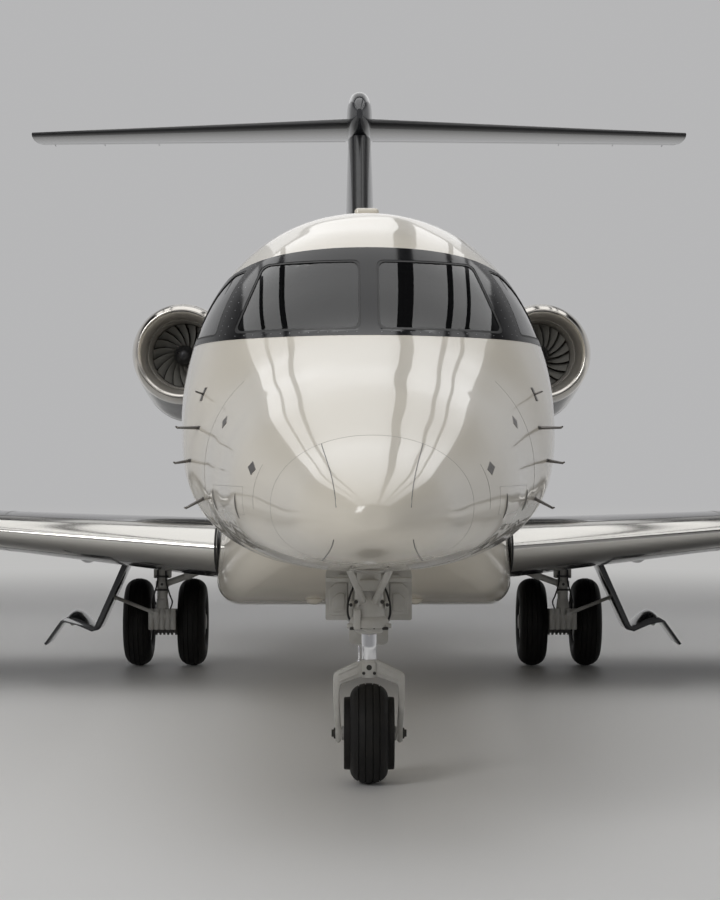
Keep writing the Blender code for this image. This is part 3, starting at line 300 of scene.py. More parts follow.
def loft(rings, closed=False):
    """A skin through rings of equal length: one circle extruded from ring to ring, then capped or closed."""
    shape = bmesh.new()
    ring = bmesh.ops.create_circle(shape, cap_ends=not closed, segments=len(rings[0]), radius=1.0)["verts"]
    edges = shape.edges[:]
    start = edges
    for vert, point in zip(ring, rings[0]):
        vert.co = point
    for points in rings[1:]:
        made = bmesh.ops.extrude_edge_only(shape, edges=edges)["geom"]
        fresh = {part for part in made if isinstance(part, bmesh.types.BMVert)}
        ring = [next(e.other_vert(v) for e in v.link_edges if e.other_vert(v) in fresh) for v in ring]
        edges = [e for e in made if isinstance(e, bmesh.types.BMEdge) and fresh.issuperset(e.verts)]
        for vert, point in zip(ring, points):
            vert.co = point
    if closed:
        bmesh.ops.bridge_loops(shape, edges=start + edges)
    else:
        bmesh.ops.contextual_create(shape, geom=edges)
    bmesh.ops.recalc_face_normals(shape, faces=shape.faces)
    return shape


def shell(first, last, outer, inner, count):
    """A stretch of the fuselage's wall between two depths, open at both ends."""
    stations = spread(first, last, count)
    rings = [hull_ring(s, outer) for s in stations] + [hull_ring(s, inner) for s in stations[::-1]]
    return loft(rings, closed=True)


def soften(shape, edges, offset, segments=3, **how):
    """Round over some edges of a shape."""
    bmesh.ops.bevel(shape, geom=edges, offset=offset, segments=segments, profile=0.5, affect="EDGES",
                    material=-1, **how)


def plate(corners, depth, radius=0.0, segments=6):
    """A flat outline, with rounded corners if asked, drawn out along a vector into a solid."""
    shape = bmesh.new()
    verts = [shape.verts.new(corner) for corner in corners]
    edges = [shape.edges.new(pair) for pair in zip(verts, verts[1:] + verts[:1])]
    bmesh.ops.contextual_create(shape, geom=edges)
    if radius:
        bmesh.ops.bevel(shape, geom=shape.verts[:], offset=radius, segments=segments, profile=0.5,
                        affect="VERTICES", material=-1)
    made = bmesh.ops.extrude_face_region(shape, geom=shape.faces[:])["geom"]
    verts = [part for part in made if isinstance(part, bmesh.types.BMVert)]
    bmesh.ops.translate(shape, verts=verts, vec=depth)
    bmesh.ops.recalc_face_normals(shape, faces=shape.faces)
    return shape


def add(shape, part, where=None):
    """Move a part into place and add it to a shape."""
    if where is not None:
        part.transform(where)
    mesh = bpy.data.meshes.new("part")
    part.to_mesh(mesh)
    part.free()
    shape.from_mesh(mesh)
    bpy.data.meshes.remove(mesh)
    return shape


def gathered(parts):
    """Several parts as one shape."""
    shape = bmesh.new()
    for part in parts:
        add(shape, part)
    return shape


def thing(shape, name):
    """A shape as an object of its own, smooth but for its sharp edges."""
    mesh = bpy.data.meshes.new(name)
    shape.to_mesh(mesh)
    shape.free()
    mesh.shade_smooth()
    mesh.set_sharp_from_angle(angle=math.radians(SHARP))
    made = bpy.data.objects.new(name, mesh)
    bpy.context.scene.collection.objects.link(made)
    return made


def carve(obj, *cutters, operation="DIFFERENCE"):
    """Cut or trim an object with shapes that are then thrown away."""
    others = [thing(cutter, "cutter") for cutter in cutters]
    for other in others:
        step = obj.modifiers.new("Carve", "BOOLEAN")
        step.operation = operation
        step.solver = "EXACT"
        step.object = other
    graph = bpy.context.evaluated_depsgraph_get()
    made = bpy.data.meshes.new_from_object(obj.evaluated_get(graph))
    obj.modifiers.clear()
    old = obj.data
    obj.data = made
    bpy.data.meshes.remove(old)
    for other in others:
        bpy.data.objects.remove(other)
    made.set_sharp_from_angle(angle=math.radians(SHARP))
    return obj


def coat(obj, finish):
    """Give an object its finish."""
    obj.data.materials.clear()
    obj.data.materials.append(finish.material)


def dress(obj, finish, body="airframe", stands_for=()):
    """Give an object its finish and the body it rides on, and hide the imported nodes it stands for."""
    coat(obj, finish)
    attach(obj, body)
    if stands_for:
        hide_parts(*stands_for)
    return obj


def piece(shape, name, finish, body="airframe", stands_for=()):
    """A shape as a finished piece of the aircraft, facing outwards."""
    bmesh.ops.recalc_face_normals(shape, faces=shape.faces)
    return dress(thing(shape, name), finish, body, stands_for)


def pipe(shape, points, radius, closed=False, resolution=2):
    """Add a round line through points to a shape."""
    line = bpy.data.curves.new("line", "CURVE")
    line.dimensions = "3D"
    line.bevel_depth = radius
    line.bevel_resolution = resolution
    line.use_fill_caps = True
    spline = line.splines.new("POLY")
    spline.points.add(len(points) - 1)
    for knot, point in zip(spline.points, points):
        knot.co = (*point, 1.0)
    spline.use_cyclic_u = closed
    holder = bpy.data.objects.new("line", line)
    mesh = bpy.data.meshes.new_from_object(holder)
    shape.from_mesh(mesh)
    bpy.data.meshes.remove(mesh)
    bpy.data.objects.remove(holder)
    bpy.data.curves.remove(line)
    return shape


NOSE_RINGS = [RADOME_END * (i / 30) ** 2 for i in range(31)]
TIP_SHARES = (0.02, 0.35, 0.7, 0.9)
TIP = hull_ring(0.0)
TIP_CENTRE = sum(TIP, Vector()) / RING_POINTS
rings = [[TIP_CENTRE.lerp(point, share) for point in TIP] for share in TIP_SHARES]
rings += [hull_ring(station) for station in NOSE_RINGS[:-1]] + [hull_ring(RADOME_END - SEAM)]
piece(loft(rings), "radome_skin", CREAM, stands_for=["radome"])
forward = thing(shell(RADOME_END, COCKPIT_END - SEAM, 0.0, -WALL, 80), "forward_skin")
centre = thing(shell(COCKPIT_END, CABIN_END - SEAM, 0.0, -WALL, 90), "cabin_skin")
tail_rings = [hull_ring(s) for s in spread(CABIN_END, TAIL_END, 60)][::-1]
tail_rings += [hull_ring(s, -TAIL_WALL) for s in spread(CABIN_END, TAIL_HOLLOW_END, 24)]
piece(loft(tail_rings), "tail_skin", CREAM, stands_for=["tail_cone"])

# Windscreen and cockpit side windows
# Laminated, heated panes bedded in black sealant, in a black composite mask that runs round both sides.
# Countersunk screws hold the mask and the pane retainers down.
POST = 0.0415
PANE_BASE = 2.193
PANE_TOP = 2.583
PANE_BASE_HALF = 0.675
PANE_TOP_HALF = 0.545
FRONT_PANE = ((POST, PANE_BASE), (PANE_BASE_HALF, PANE_BASE), (PANE_TOP_HALF, PANE_TOP), (POST, PANE_TOP))
SIDE_PANE = ((2.73, 2.19), (3.62, 2.20), (3.60, 2.46), (3.46, 2.56), (3.26, 2.57))
FRONT_CUT = (1.95, 1.47)
SIDE_CUT = (0.42, 0.78)
MASK_SIDE = ((1.6, 2.162), (3.86, 2.162), (3.80, 2.44), (3.68, 2.551), (1.6, 2.862))
MASK_RUN = (1.9, 3.93)
MASK_PROUD = 0.0012
PANE_RUN = (1.9, 3.8)
PANE_CORNER = 0.035
GASKET = 0.011

MASK = gloss_paint("mask_black", "cream_composite", (0.010, 0.010, 0.011), (0.014, 0.014, 0.015), 0.10,
                   Specular_IOR_Level=0.0)
GASKET_BLACK = Finish("pane_gasket", "rubber", Base_Color=(0.006, 0.006, 0.006), Roughness=0.5)
GLASS = Finish("tinted_glass", "glass", Base_Color=(0.06, 0.062, 0.064), IOR=1.38,
               Transmission_Weight=0.92, Specular_IOR_Level=0.26)
GLASS.rough(3.0, 3.0, 0.05, 0.012, centre=0.4)
SCREW = Finish("screw_steel", "dark_metal", Base_Color=(0.30, 0.30, 0.31), Metallic=1.0, Roughness=0.35)


def inset(outline, gap):
    """A convex outline with each edge moved inwards by a gap."""
    moved = []
    count = len(outline)
    turn = math.copysign(1.0, sum(
        a[0] * b[1] - b[0] * a[1] for a, b in zip(outline, outline[1:] + outline[:1])))
    for i, point in enumerate(outline):
        before = Vector(point) - Vector(outline[i - 1])
        after = Vector(outline[(i + 1) % count]) - Vector(point)
        normals = [Vector((-edge.y, edge.x)).normalized() * turn for edge in (before, after)]
        middle = (normals[0] + normals[1]).normalized()
        moved.append(Vector(point) + middle * gap / max(middle.dot(normals[0]), 0.3))
    return [(p.x, p.y) for p in moved]


def pane_cutter(sign, front, gap=0.0):
    """A prism through one pane's opening, shrunk by a gap."""
    if front:
        corners = [(sign * x, along(FRONT_CUT[0]), z) for x, z in inset(FRONT_PANE, gap)]
        return plate(corners, (0.0, FRONT_CUT[1], 0.0), PANE_CORNER)
    corners = [(sign * SIDE_CUT[0], along(s), z) for s, z in inset(SIDE_PANE, gap)]
    return plate(corners, (sign * SIDE_CUT[1], 0.0, 0.0), PANE_CORNER)


def all_panes(gap=0.0):
    """The four panes' prisms."""
    return [pane_cutter(sign, front, gap) for _, sign in SIDES for front in (True, False)]


def side_prism(outline, half=1.1):
    """An outline of station and height drawn right across the aircraft."""
    return plate([(-half, along(s), z) for s, z in outline], (2 * half, 0.0, 0.0))


def patch(name, wall, kept, *cuts):
    """A stretch of the fuselage's wall trimmed to a prism and then cut by others."""
    made = carve(thing(shell(*wall), name), kept, operation="INTERSECT")
    return carve(made, *cuts) if cuts else made


carve(forward, *all_panes())
dress(forward, CREAM, stands_for=["forward_fuselage"])
dress(patch("windscreen_mask", (*MASK_RUN, MASK_PROUD, -0.03, 70), side_prism(MASK_SIDE), *all_panes()), MASK)
for side, sign in SIDES:
    for front, node in ((True, "windshield"), (False, "side_window")):
        dress(patch(f"{node}_gasket_{side}", (*PANE_RUN, -0.0005, -0.025, 70),
                    pane_cutter(sign, front, 0.0005), pane_cutter(sign, front, GASKET)), GASKET_BLACK)
        dress(patch(f"{node}_pane_{side}", (*PANE_RUN, -0.004, -0.016, 70),
                    pane_cutter(sign, front, GASKET - 0.002)), GLASS, stands_for=[f"{node}_{side}"])


def half_of(row, upper):
    """The height and the fullness of a section's upper or lower half."""
    top, bottom, widest = row[1:]
    return (top - widest, UPPER_FULLNESS) if upper else (widest - bottom, LOWER_FULLNESS)


def skin_at(station, height, sign, lift=0.0):
    """A point on the fuselage's side at a station and height, lifted off it."""
    row = faired_row(FUSELAGE, station)
    reach, power = half_of(row, height > row[3])
    share = min(abs(height - row[3]) / reach, 1.0)
    x = row[0] * (1 - share**power) ** (1 / power)
    return Vector((sign * (x + lift), along(station), height))


def crown_at(station, x, lift=0.0, below=False):
    """A point on the fuselage's upper or lower face at a station and a distance from its middle."""
    row = faired_row(FUSELAGE, station)
    reach, power = half_of(row, not below)
    rise = reach * (1 - min(abs(x) / row[0], 1.0) ** power) ** (1 / power) + lift
    return Vector((x, along(station), row[3] - rise if below else row[3] + rise))


def depth_of(point):
    """One for a point on the fuselage's skin, and less for one inside it."""
    row = faired_row(FUSELAGE, point.y + LENGTH / 2)
    reach, power = half_of(row, point.z > row[3])
    return (abs(point.x) / row[0]) ** power + (abs(point.z - row[3]) / reach) ** power


def facing(point, step=0.004):
    """The outward direction of the fuselage's skin near a point on it."""
    steps = Matrix.Diagonal((step, step, step))
    return Vector([depth_of(point + run) - depth_of(point - run) for run in steps]).normalized()


def aimed(point, direction):
    """A place at a point whose own Z axis runs along a direction."""
    return Matrix.Translation(point) @ Vector(direction).to_track_quat("Z", "Y").to_matrix().to_4x4()


def screw_row(shape, points, radius=0.0035):
    """Add a domed screw head at each point on the fuselage's skin."""
    for point in points:
        head = bmesh.new()
        bmesh.ops.create_cone(head, cap_ends=True, segments=8, radius1=radius, radius2=radius * 0.6,
                              depth=radius * 0.5)
        add(shape, head, aimed(point, facing(point)))


def walk(outline, pitch):
    """Points at an even pitch round a closed outline."""
    points = []
    for a, b in zip(outline, outline[1:] + outline[:1]):
        count = max(int(math.dist(a, b) / pitch), 1)
        points += [(a[0] + (b[0] - a[0]) * k / count, a[1] + (b[1] - a[1]) * k / count) for k in range(count)]
    return points


def front_at(x, height):
    """The point of the nose's skin seen from ahead at a distance from the middle and a height."""
    low, high = 0.05, COCKPIT_END
    for _ in range(40):
        middle = (low + high) / 2
        inside = depth_of(Vector((x, along(middle), height))) < 1
        low, high = (low, middle) if inside else (middle, high)
    return Vector((x, along(high), height))


SCREW_MARGIN = 0.026
SCREW_PITCH = 0.045
screws = bmesh.new()
for _, sign in SIDES:
    outline = inset(SIDE_PANE, -SCREW_MARGIN)
    screw_row(screws, [skin_at(s, z, sign, MASK_PROUD) for s, z in walk(outline, SCREW_PITCH)])
    lower = [(x, PANE_BASE - SCREW_MARGIN * 0.55) for x in spread(0.06, 0.66, 14)]
    outer = [(PANE_BASE_HALF + 0.04 - 0.13 * k / 9, PANE_BASE + 0.39 * k / 9) for k in range(10)]
    screw_row(screws, [front_at(sign * x, z) + Vector((0, 0, MASK_PROUD)) for x, z in lower + outer])
piece(screws, "mask_screws", SCREW)


# Cabin windows
# Stretched acrylic panes in flush metal rings, with black sealant between ring, pane and skin.
# An inner pane lies behind each of them in the lining.
WINDOW_WIDTH = 0.29
WINDOW_HEIGHT = 0.40
WINDOW_RADIUS = 0.12
WINDOW_CENTRE = 2.05
WINDOW_FIRST = 5.40
WINDOW_PITCH = 0.66
WINDOWS = {"left": range(5), "right": range(-1, 7)}
WINDOW_REACH = 0.25
WALL_CUT = (0.42, 0.78)
RING_WIDTH = 0.016
PANE_BED = 0.005

RING_METAL = Finish("window_ring", "polished_edge", Base_Color=(0.55, 0.55, 0.56), Metallic=1.0)
RING_METAL.rough(40.0, 3.0, 0.2, 0.3)


def wall_cutter(sign, first, last, low, high, radius, segments=8):
    """A prism through one side wall with round corners, between two stations and two heights."""
    corners = [(sign * WALL_CUT[0], along(s), z) for s, z in
               ((first, low), (last, low), (last, high), (first, high))]
    return plate(corners, (sign * WALL_CUT[1], 0.0, 0.0), radius, segments)


def window_cutter(sign, number, gap=0.0):
    """A prism through one cabin window's opening, shrunk by a gap."""
    middle = WINDOW_FIRST + WINDOW_PITCH * number
    across, upward = WINDOW_WIDTH / 2 - gap, WINDOW_HEIGHT / 2 - gap
    return wall_cutter(sign, middle - across, middle + across, WINDOW_CENTRE - upward,
                       WINDOW_CENTRE + upward, WINDOW_RADIUS - gap)


def row_of_windows(side, gap=0.0):
    """The prisms of every window on a side as one cutter."""
    sign = dict(SIDES)[side]
    return gathered([window_cutter(sign, number, gap) for number in WINDOWS[side]])


for side, sign in SIDES:
    first = WINDOW_FIRST + WINDOW_PITCH * WINDOWS[side][0] - WINDOW_REACH
    last = WINDOW_FIRST + WINDOW_PITCH * WINDOWS[side][-1] + WINDOW_REACH
    dress(patch(f"window_rings_{side}", (first, last, 0.0006, -0.03, 30),
                row_of_windows(side, -RING_WIDTH), row_of_windows(side, PANE_BED)), RING_METAL)
    dress(patch(f"cabin_panes_{side}", (first, last, -0.003, -0.011, 30),
                row_of_windows(side, PANE_BED + 0.001)), GLASS)
    coat(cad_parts[f"cabin_glass_{side}"], GLASS)

# Doors
# The entrance door swings down on its sill and carries the stairs; the baggage door swings up.
# Both are pieces of the same wall with a compression seal, a flush handle and hinges at their edge.
DOOR_GAP = 0.006
DOOR_RADIUS = 0.10
CABIN_DOOR = (4.05, 4.85, 1.20, 2.72)
CARGO_DOOR = (8.55, 9.80, 1.262, 2.55)
HINGE_LINE = (0.694, 1.212)
HINGE_RECESS = 0.023
TREAD = (0.19, 0.46, 0.022)
TREAD_TILT = 125.0
TREAD_FIRST = 1.52
TREAD_PITCH = 0.26
TREADS = 4

TREAD_GRIP = Finish("tread_grip", "floor_panel", Base_Color=(0.02, 0.02, 0.021))
TREAD_GRIP.rough(300.0, 1.0, 0.2, 0.8).bump(TREAD_GRIP.cells(420.0), 0.0008)
LINER = Finish("door_liner", "floor_panel", Base_Color=(0.56, 0.51, 0.43))
LINER.rough(60.0, 3.0, 0.15, 0.55).bump(LINER.noise(500.0, 1.0), 0.0003)
HANDLE_METAL = Finish("handle_metal", "polished_edge", Base_Color=(0.62, 0.62, 0.63), Metallic=1.0)
HANDLE_METAL.rough(30.0, 3.0, 0.2, 0.22)
SEAL_BLACK = Finish("seal_black", "rubber", Base_Color=(0.012, 0.012, 0.012)).rough(50.0, 3.0, 0.2, 0.6)


def eased(corners, steps=6):
    """An outline from corners of two coordinates and the length cut back for a curve round each."""
    outline = []
    for i, (u, v, cut) in enumerate(corners):
        here = Vector((u, v))
        before = Vector(corners[i - 1][:2]) - here
        after = Vector(corners[(i + 1) % len(corners)][:2]) - here
        start, end = here + before.normalized() * cut, here + after.normalized() * cut
        for s in spread(0.0, 1.0, steps) if cut else (0.0,):
            point = start * (1 - s) ** 2 + here * 2 * s * (1 - s) + end * s**2
            outline.append((point.x, point.y))
    return outline


def door_cutter(edges, gap):
    """A prism through a door's opening, shrunk by a gap, with square corners at a hinged foot."""
    first, last, low, high = edges
    first, last, low, high = first + gap, last - gap, low + gap, high - gap
    top = DOOR_RADIUS - gap
    foot = 0.0 if edges is CABIN_DOOR else top
    outline = eased([(first, low, foot), (last, low, foot), (last, high, top), (first, high, top)], 10)
    corners = [(WALL_CUT[0], along(s), z) for s, z in outline]
    return plate(corners, (WALL_CUT[1], 0.0, 0.0))


def block(size, where, radius=0.004, segments=3):
    """A block with round edges, placed by a matrix or a centre."""
    shape = bmesh.new()
    place = where if isinstance(where, Matrix) else Matrix.Translation(where)
    bmesh.ops.create_cube(shape, size=1.0, matrix=Matrix.Diagonal((*size, 1.0)))
    soften(shape, shape.edges[:], min(radius, min(size) * 0.45), segments)
    shape.transform(place)
    return shape


def rod(first, last, radius, last_radius=None, sides=24, edge=0.0015):
    """A round bar between two points, with its end edges broken."""
    first, last = Vector(first), Vector(last)
    run = last - first
    shape = bmesh.new()
    bmesh.ops.create_cone(shape, cap_ends=True, segments=sides, radius1=radius,
                          radius2=radius if last_radius is None else last_radius, depth=run.length)
    rims = [e for e in shape.edges if any(len(f.verts) > 4 for f in e.link_faces)]
    soften(shape, rims, min(edge, radius * 0.3), 2)
    shape.transform(aimed((first + last) / 2, run))
    return shape


def crossbar(first, last, y, z, radius, **how):
    """A round bar across the aircraft from one distance beside its middle to another."""
    return rod((first, y, z), (last, y, z), radius, **how)


openings = [row_of_windows("left"), row_of_windows("right")]
openings += [door_cutter(CABIN_DOOR, 0.0), door_cutter(CARGO_DOOR, 0.0)]
recess = [Vector((HINGE_LINE[0], along(s), HINGE_LINE[1])) for s in CABIN_DOOR[:2]]
recess[0].y += 0.001
recess[1].y -= 0.001
carve(centre, gathered(openings), rod(*recess, HINGE_RECESS, sides=32))
dress(centre, CREAM, stands_for=["centre_fuselage"])

for name, edges, station, height in (
    ("cabin_door", CABIN_DOOR, 4.17, 1.98),
    ("cargo_door", CARGO_DOOR, 9.17, 1.46),
):
    run = edges[0] - 0.1, edges[1] + 0.1
    dress(patch(f"{name}_skin", (*run, 0.0, -0.034, 30), door_cutter(edges, DOOR_GAP)), CREAM, name, [name])
    dress(patch(f"{name}_liner", (*run, -0.034, -WALL, 30), door_cutter(edges, DOOR_GAP + 0.012)),
          LINER, name)
    dress(patch(f"{name}_seal", (*run, -0.012, -0.03, 30), door_cutter(edges, 0.0015),
                door_cutter(edges, DOOR_GAP + 0.004)), SEAL_BLACK, name)
    plate_cut = wall_cutter(1, station - 0.09, station + 0.09, height - 0.04, height + 0.04, 0.012)
    dress(patch(f"{name}_handle_plate", (*run, 0.001, -0.01, 24), plate_cut), HANDLE_METAL, name)
    spot = skin_at(station, height, 1, 0.0045)
    piece(block((0.034, 0.13, 0.008), aimed(spot, facing(spot)), 0.003), f"{name}_handle", HANDLE_METAL, name)

stairs, grips = bmesh.new(), bmesh.new()
STAIR_MIDDLE = along(sum(CABIN_DOOR[:2]) / 2)
TILT = Matrix.Rotation(-math.radians(TREAD_TILT), 4, "Y")
for n in range(TREADS):
    height = TREAD_FIRST + TREAD_PITCH * n
    foot = Vector((skin_at(CABIN_DOOR[0], height, 1).x - WALL + 0.012, STAIR_MIDDLE, height))
    level = Matrix.Translation(foot + TILT @ Vector((TREAD[0] / 2, 0.0, 0.0))) @ TILT
    add(stairs, block(TREAD, level, 0.006))
    for lift in (0.011, -0.011):
        face = level @ Matrix.Translation((0, 0, lift))
        add(grips, block((TREAD[0] * 0.8, TREAD[1] * 0.9, 0.003), face, 0.001))
piece(stairs, "stair_treads", HANDLE_METAL, "cabin_door")
piece(grips, "stair_grips", TREAD_GRIP, "cabin_door")

# Joints, strips and small fittings of the nose
# Filled butt joints, foil diverter strips on the radome, anti-rotation strakes and the air-data probes.
# The probes are heated steel on small base plates, screwed flush with the skin.
PROBE_STEEL = Finish("probe_steel", "dark_metal", Base_Color=(0.20, 0.19, 0.18), Metallic=1.0)
PROBE_STEEL.rough(60.0, 4.0, 0.3, 0.38)
STRIP_METAL = Finish("diverter_strip", "dark_metal", Base_Color=(0.24, 0.235, 0.225), Metallic=0.7)
STRIP_METAL.rough(80.0, 2.0, 0.2, 0.5)

seams = bmesh.new()
for station, radius in ((RADOME_END, 0.0014), (COCKPIT_END, 0.0009), (CABIN_END, 0.0009), (13.1, 0.0009)):
    pipe(seams, hull_ring(station, -radius * 0.45), radius, closed=True)


def side_line(points, lift=0.0):
    """Points on both sides of the fuselage from a list of stations and heights."""
    return [[skin_at(s, z, sign, lift) for s, z in points] for _, sign in SIDES]


def straight(first, last, count=24):
    """Stations and heights at even steps from one pair to another."""
    return list(zip(spread(first[0], last[0], count), spread(first[1], last[1], count)))


def framed(first, last, low, high):
    """The outline of an access panel on the fuselage's side."""
    corners = [(first, low), (last, low), (last, high), (first, high), (first, low)]
    return [point for pair in zip(corners, corners[1:]) for point in straight(*pair)]


for upright in (((0.92, 1.55), (0.92, 1.36)), ((2.05, 1.94), (2.05, 1.40))):
    for line in side_line(straight(*upright)):
        pipe(seams, line, 0.0009)
for panel in ((1.06, 1.76, 1.335, 1.455), (11.35, 11.95, 1.75, 2.25), (5.2, 6.9, 2.62, 2.72)):
    for line in side_line(framed(*panel), -0.0003):
        pipe(seams, line, 0.0008, closed=True)
piece(seams, "skin_joints", SEALANT)

strips = bmesh.new()
for _, sign in SIDES:
    upper = [(0.145 + 0.065 * t, 0.08 + 0.62 * t) for t in spread(0.0, 1.0, 20)]
    lower = [(0.155 + 0.054 * t, 0.15 + 0.55 * t) for t in spread(0.0, 1.0, 20)]
    pipe(strips, [crown_at(s, sign * x) for x, s in upper], 0.002, resolution=1)
    pipe(strips, [crown_at(s, sign * x, below=True) for x, s in lower], 0.0024, resolution=1)
piece(strips, "diverter_strips", STRIP_METAL)

STRAKE_FOOT = Vector((0, 0.003, 0))
STRAKE_TOP = Vector((0, 0.002, 0))
strakes = bmesh.new()
for _, sign in SIDES:
    for station, high, low in ((1.175, 1.43, 1.31), (1.80, 1.44, 1.33)):
        line = [skin_at(station, z, sign, -0.004) for z in spread(high, low, 14)]
        blade = [point + facing(point) * (0.010 * max(math.sin(math.pi * k / 13), 0.0) ** 0.4)
                 for k, point in enumerate(line)]
        add(strakes, loft([[a - STRAKE_FOOT, b - STRAKE_TOP, b + STRAKE_TOP, a + STRAKE_FOOT]
                           for a, b in zip(line, blade)]))
piece(strakes, "nose_strakes", STRIP_METAL)

PROBES = (
    # station, height, elbow from the foot, radii of the stem, tube behind, tube ahead and up, its radii
    (2.40, 1.89, (0.034, -0.012, 0.012), (0.006, 0.0045), 0.018, (-0.045, 0.0), (0.005, 0.0035)),
    (2.30, 1.725, (0.10, -0.02, 0.0), (0.009, 0.0055), 0.012, (-0.085, 0.004), (0.0058, 0.004)),
    (2.40, 1.566, (0.07, -0.02, -0.012), (0.009, 0.0055), 0.012, (-0.085, 0.004), (0.0058, 0.004)),
    (2.20, 1.384, (0.082, -0.02, -0.045), (0.009, 0.0055), 0.012, (-0.085, 0.004), (0.0058, 0.004)),
)
probes, plates = bmesh.new(), bmesh.new()
for _, sign in SIDES:
    for station, height in ((1.85, 1.745), (1.01, 1.534)):
        rings = []
        for lift in (-0.004, 0.0018):
            rings.append([skin_at(station + 0.034 * a - 0.013 * b, height + 0.017 * a + 0.012 * b, sign, lift)
                          for a, b in ((-1, -1), (1, -1), (1, 1), (-1, 1))])
        add(plates, loft(rings))
    for station, height, wide, tall in ((2.40, 1.89, 0.026, 0.072), (2.30, 1.725, 0.06, 0.018),
                                        (2.40, 1.566, 0.06, 0.018), (2.20, 1.384, 0.05, 0.02)):
        spot = skin_at(station, height, sign)
        add(plates, block((wide, tall, 0.005), aimed(spot, facing(spot)), 0.002))
    for station, height, elbow, stem, back, ahead, tube in PROBES:
        root = skin_at(station, height, sign)
        bend = root + Vector((sign * elbow[0], *elbow[1:]))
        add(probes, rod(root, bend, *stem, 16))
        add(probes, rod(bend + Vector((0, back, 0)), bend + Vector((0, *ahead)), *tube, 16))
piece(plates, "probe_plates", PROBE_STEEL)
piece(probes, "air_data_probes", PROBE_STEEL)

# Belly fairing
# A composite fairing over the wing's centre section and the wheel wells, screwed to the fuselage in panels.
# A rubber seal lies between it and each wing.
FAIRING = (
    # station, half_width, bottom
    (5.3, 0.50, 0.98),
    (5.7, 0.80, 0.80),
    (6.2, 0.94, 0.67),
    (6.9, 1.0, 0.58),
    (9.0, 1.0, 0.58),
    (9.9, 0.92, 0.66),
    (10.6, 0.78, 0.80),
    (11.2, 0.50, 1.02),
)
SHOULDER = 1.13
SHOULDER_TOP = 1.235


def fairing_ring(station, corner=10, across=24):
    """The fairing's section: flat floor, round corners, upright sides and shoulders into the fuselage."""
    half_width, bottom = faired_row(FAIRING, station, 0.3)
    radius = min(0.16, half_width * 0.3)
    side = []
    for step in range(corner + 1):
        angle = math.pi / 2 * step / corner
        side.append((half_width - radius * (1 - math.sin(angle)), bottom + radius * (1 - math.cos(angle))))
    top = max(SHOULDER_TOP, bottom + radius + 0.05)
    upright = max(SHOULDER, bottom + radius + 0.02)
    inner = half_width * 0.72
    for share in spread(0.0, 1.0, 9)[1:]:
        bend = math.sin(share * math.pi) * 0.012
        across_at = half_width + (inner - half_width) * share + bend
        side.append((across_at, upright + (top - upright) * share + bend))
    right = [Vector((x, along(station), z)) for x, z in side]
    left = [Vector((-p.x, p.y, p.z)) for p in right[::-1]]
    roof = [crown_at(station, x, -0.03, below=True) for x in spread(inner * 0.97, -inner * 0.97, across)]
    roof = [Vector((p.x, p.y, max(p.z, bottom + 0.01))) for p in roof]
    flat = half_width - radius
    floor_points = [Vector((x, along(station), bottom)) for x in spread(-flat, flat, 12)]
    return floor_points[:-1] + right + roof + left[:-1]


fairing = [fairing_ring(s) for s in spread(FAIRING[0][0], FAIRING[-1][0], 72)]
piece(loft(fairing), "belly_fairing_skin", CREAM, stands_for=["belly_fairing"])

# Wings
# Riveted aluminium boxes in graphite paint, with bare polished leading edges kept free of ice by warm air.
# Canoe fairings below cover the flap tracks, and the tips turn up into winglets.
WING_TIP = 7.9
WING = (
    # span, leading, chord, thickness, height
    (1.0, 6.75, 2.75, 0.156, 0.965),
    (2.5, 6.968, 2.38, 0.121, 1.078),
    (8.0, 7.765, 1.05, 0.110, 1.490),
)
INCIDENCE = math.tan(math.radians(1.5))
EDGE_PART = 0.09
BOX_END = 0.705
NOSE_PART = 0.712
HINGE_PART = 0.745
FLAP_SPAN = (1.02, 5.33)
AILERON_SPAN = (5.36, 7.87)
CONTROL_GAP = 5.345
JACK_SPOT = (3.2, 0.40)
JACK_RADIUS = 0.04
TRACKS = (
    # span, drop of the flap's hinge below its round nose
    (2.05, 0.17),
    (4.40, 0.14),
)
TRACK_HALF = 0.05
PIN_RADIUS = 0.012
MOVING_TRACK_HALF = 0.036
TRACK_START = 0.42
TRACK_END = 1.02
TRACK_DEPTH = 0.09
WINGLET = (
    # span, leading, chord, thickness, height above the wing tip, lean in degrees
    (7.90, 7.75, 1.066, 0.110, 0.0, 4.0),
    (8.12, 7.86, 0.98, 0.105, 0.035, 20.0),
    (8.30, 8.02, 0.84, 0.10, 0.14, 48.0),
    (8.41, 8.19, 0.68, 0.095, 0.31, 70.0),
    (8.4794, 8.40, 0.46, 0.09, 0.60, 78.0),
)

BARE_METAL = Finish("bare_metal", "polished_edge", Base_Color=(0.67, 0.655, 0.62), Metallic=1.0)
BARE_METAL.rough(9.0, 5.0, 0.16, 0.13, stretch=(0.3, 1.0, 1.0))
BARE_METAL.bump(BARE_METAL.noise(30.0, 2.0), 0.00015, 0.4)


def row_at(table, spot):
    """The values of a table's row at a place along its first column, by straight lines."""
    for low, high in zip(table, table[1:]):
        if spot <= high[0] or high is table[-1]:
            share = (spot - low[0]) / (high[0] - low[0])
            return [a + (b - a) * share for a, b in zip(low[1:], high[1:])]


def thickness(part):
    """The half thickness of a wing's section at a part of its chord, for a ratio of one."""
    return 5 * (0.2969 * math.sqrt(part) - 0.126 * part - 0.3516 * part**2 + 0.2843 * part**3
                - 0.1015 * part**4)


def foil_point(table, span, part, side, upright=False, tilt=INCIDENCE, grow=0.0):
    """A point on the upper or lower face of a wing, or on a side of the fin."""
    values = row_at(table, span)
    leading, chord, ratio = values[:3]
    half = side * (thickness(part) * ratio * chord + grow)
    run = along(leading + part * chord)
    if upright:
        return Vector((half, run, span))
    return Vector((span, run, values[3] - tilt * part * chord + half))


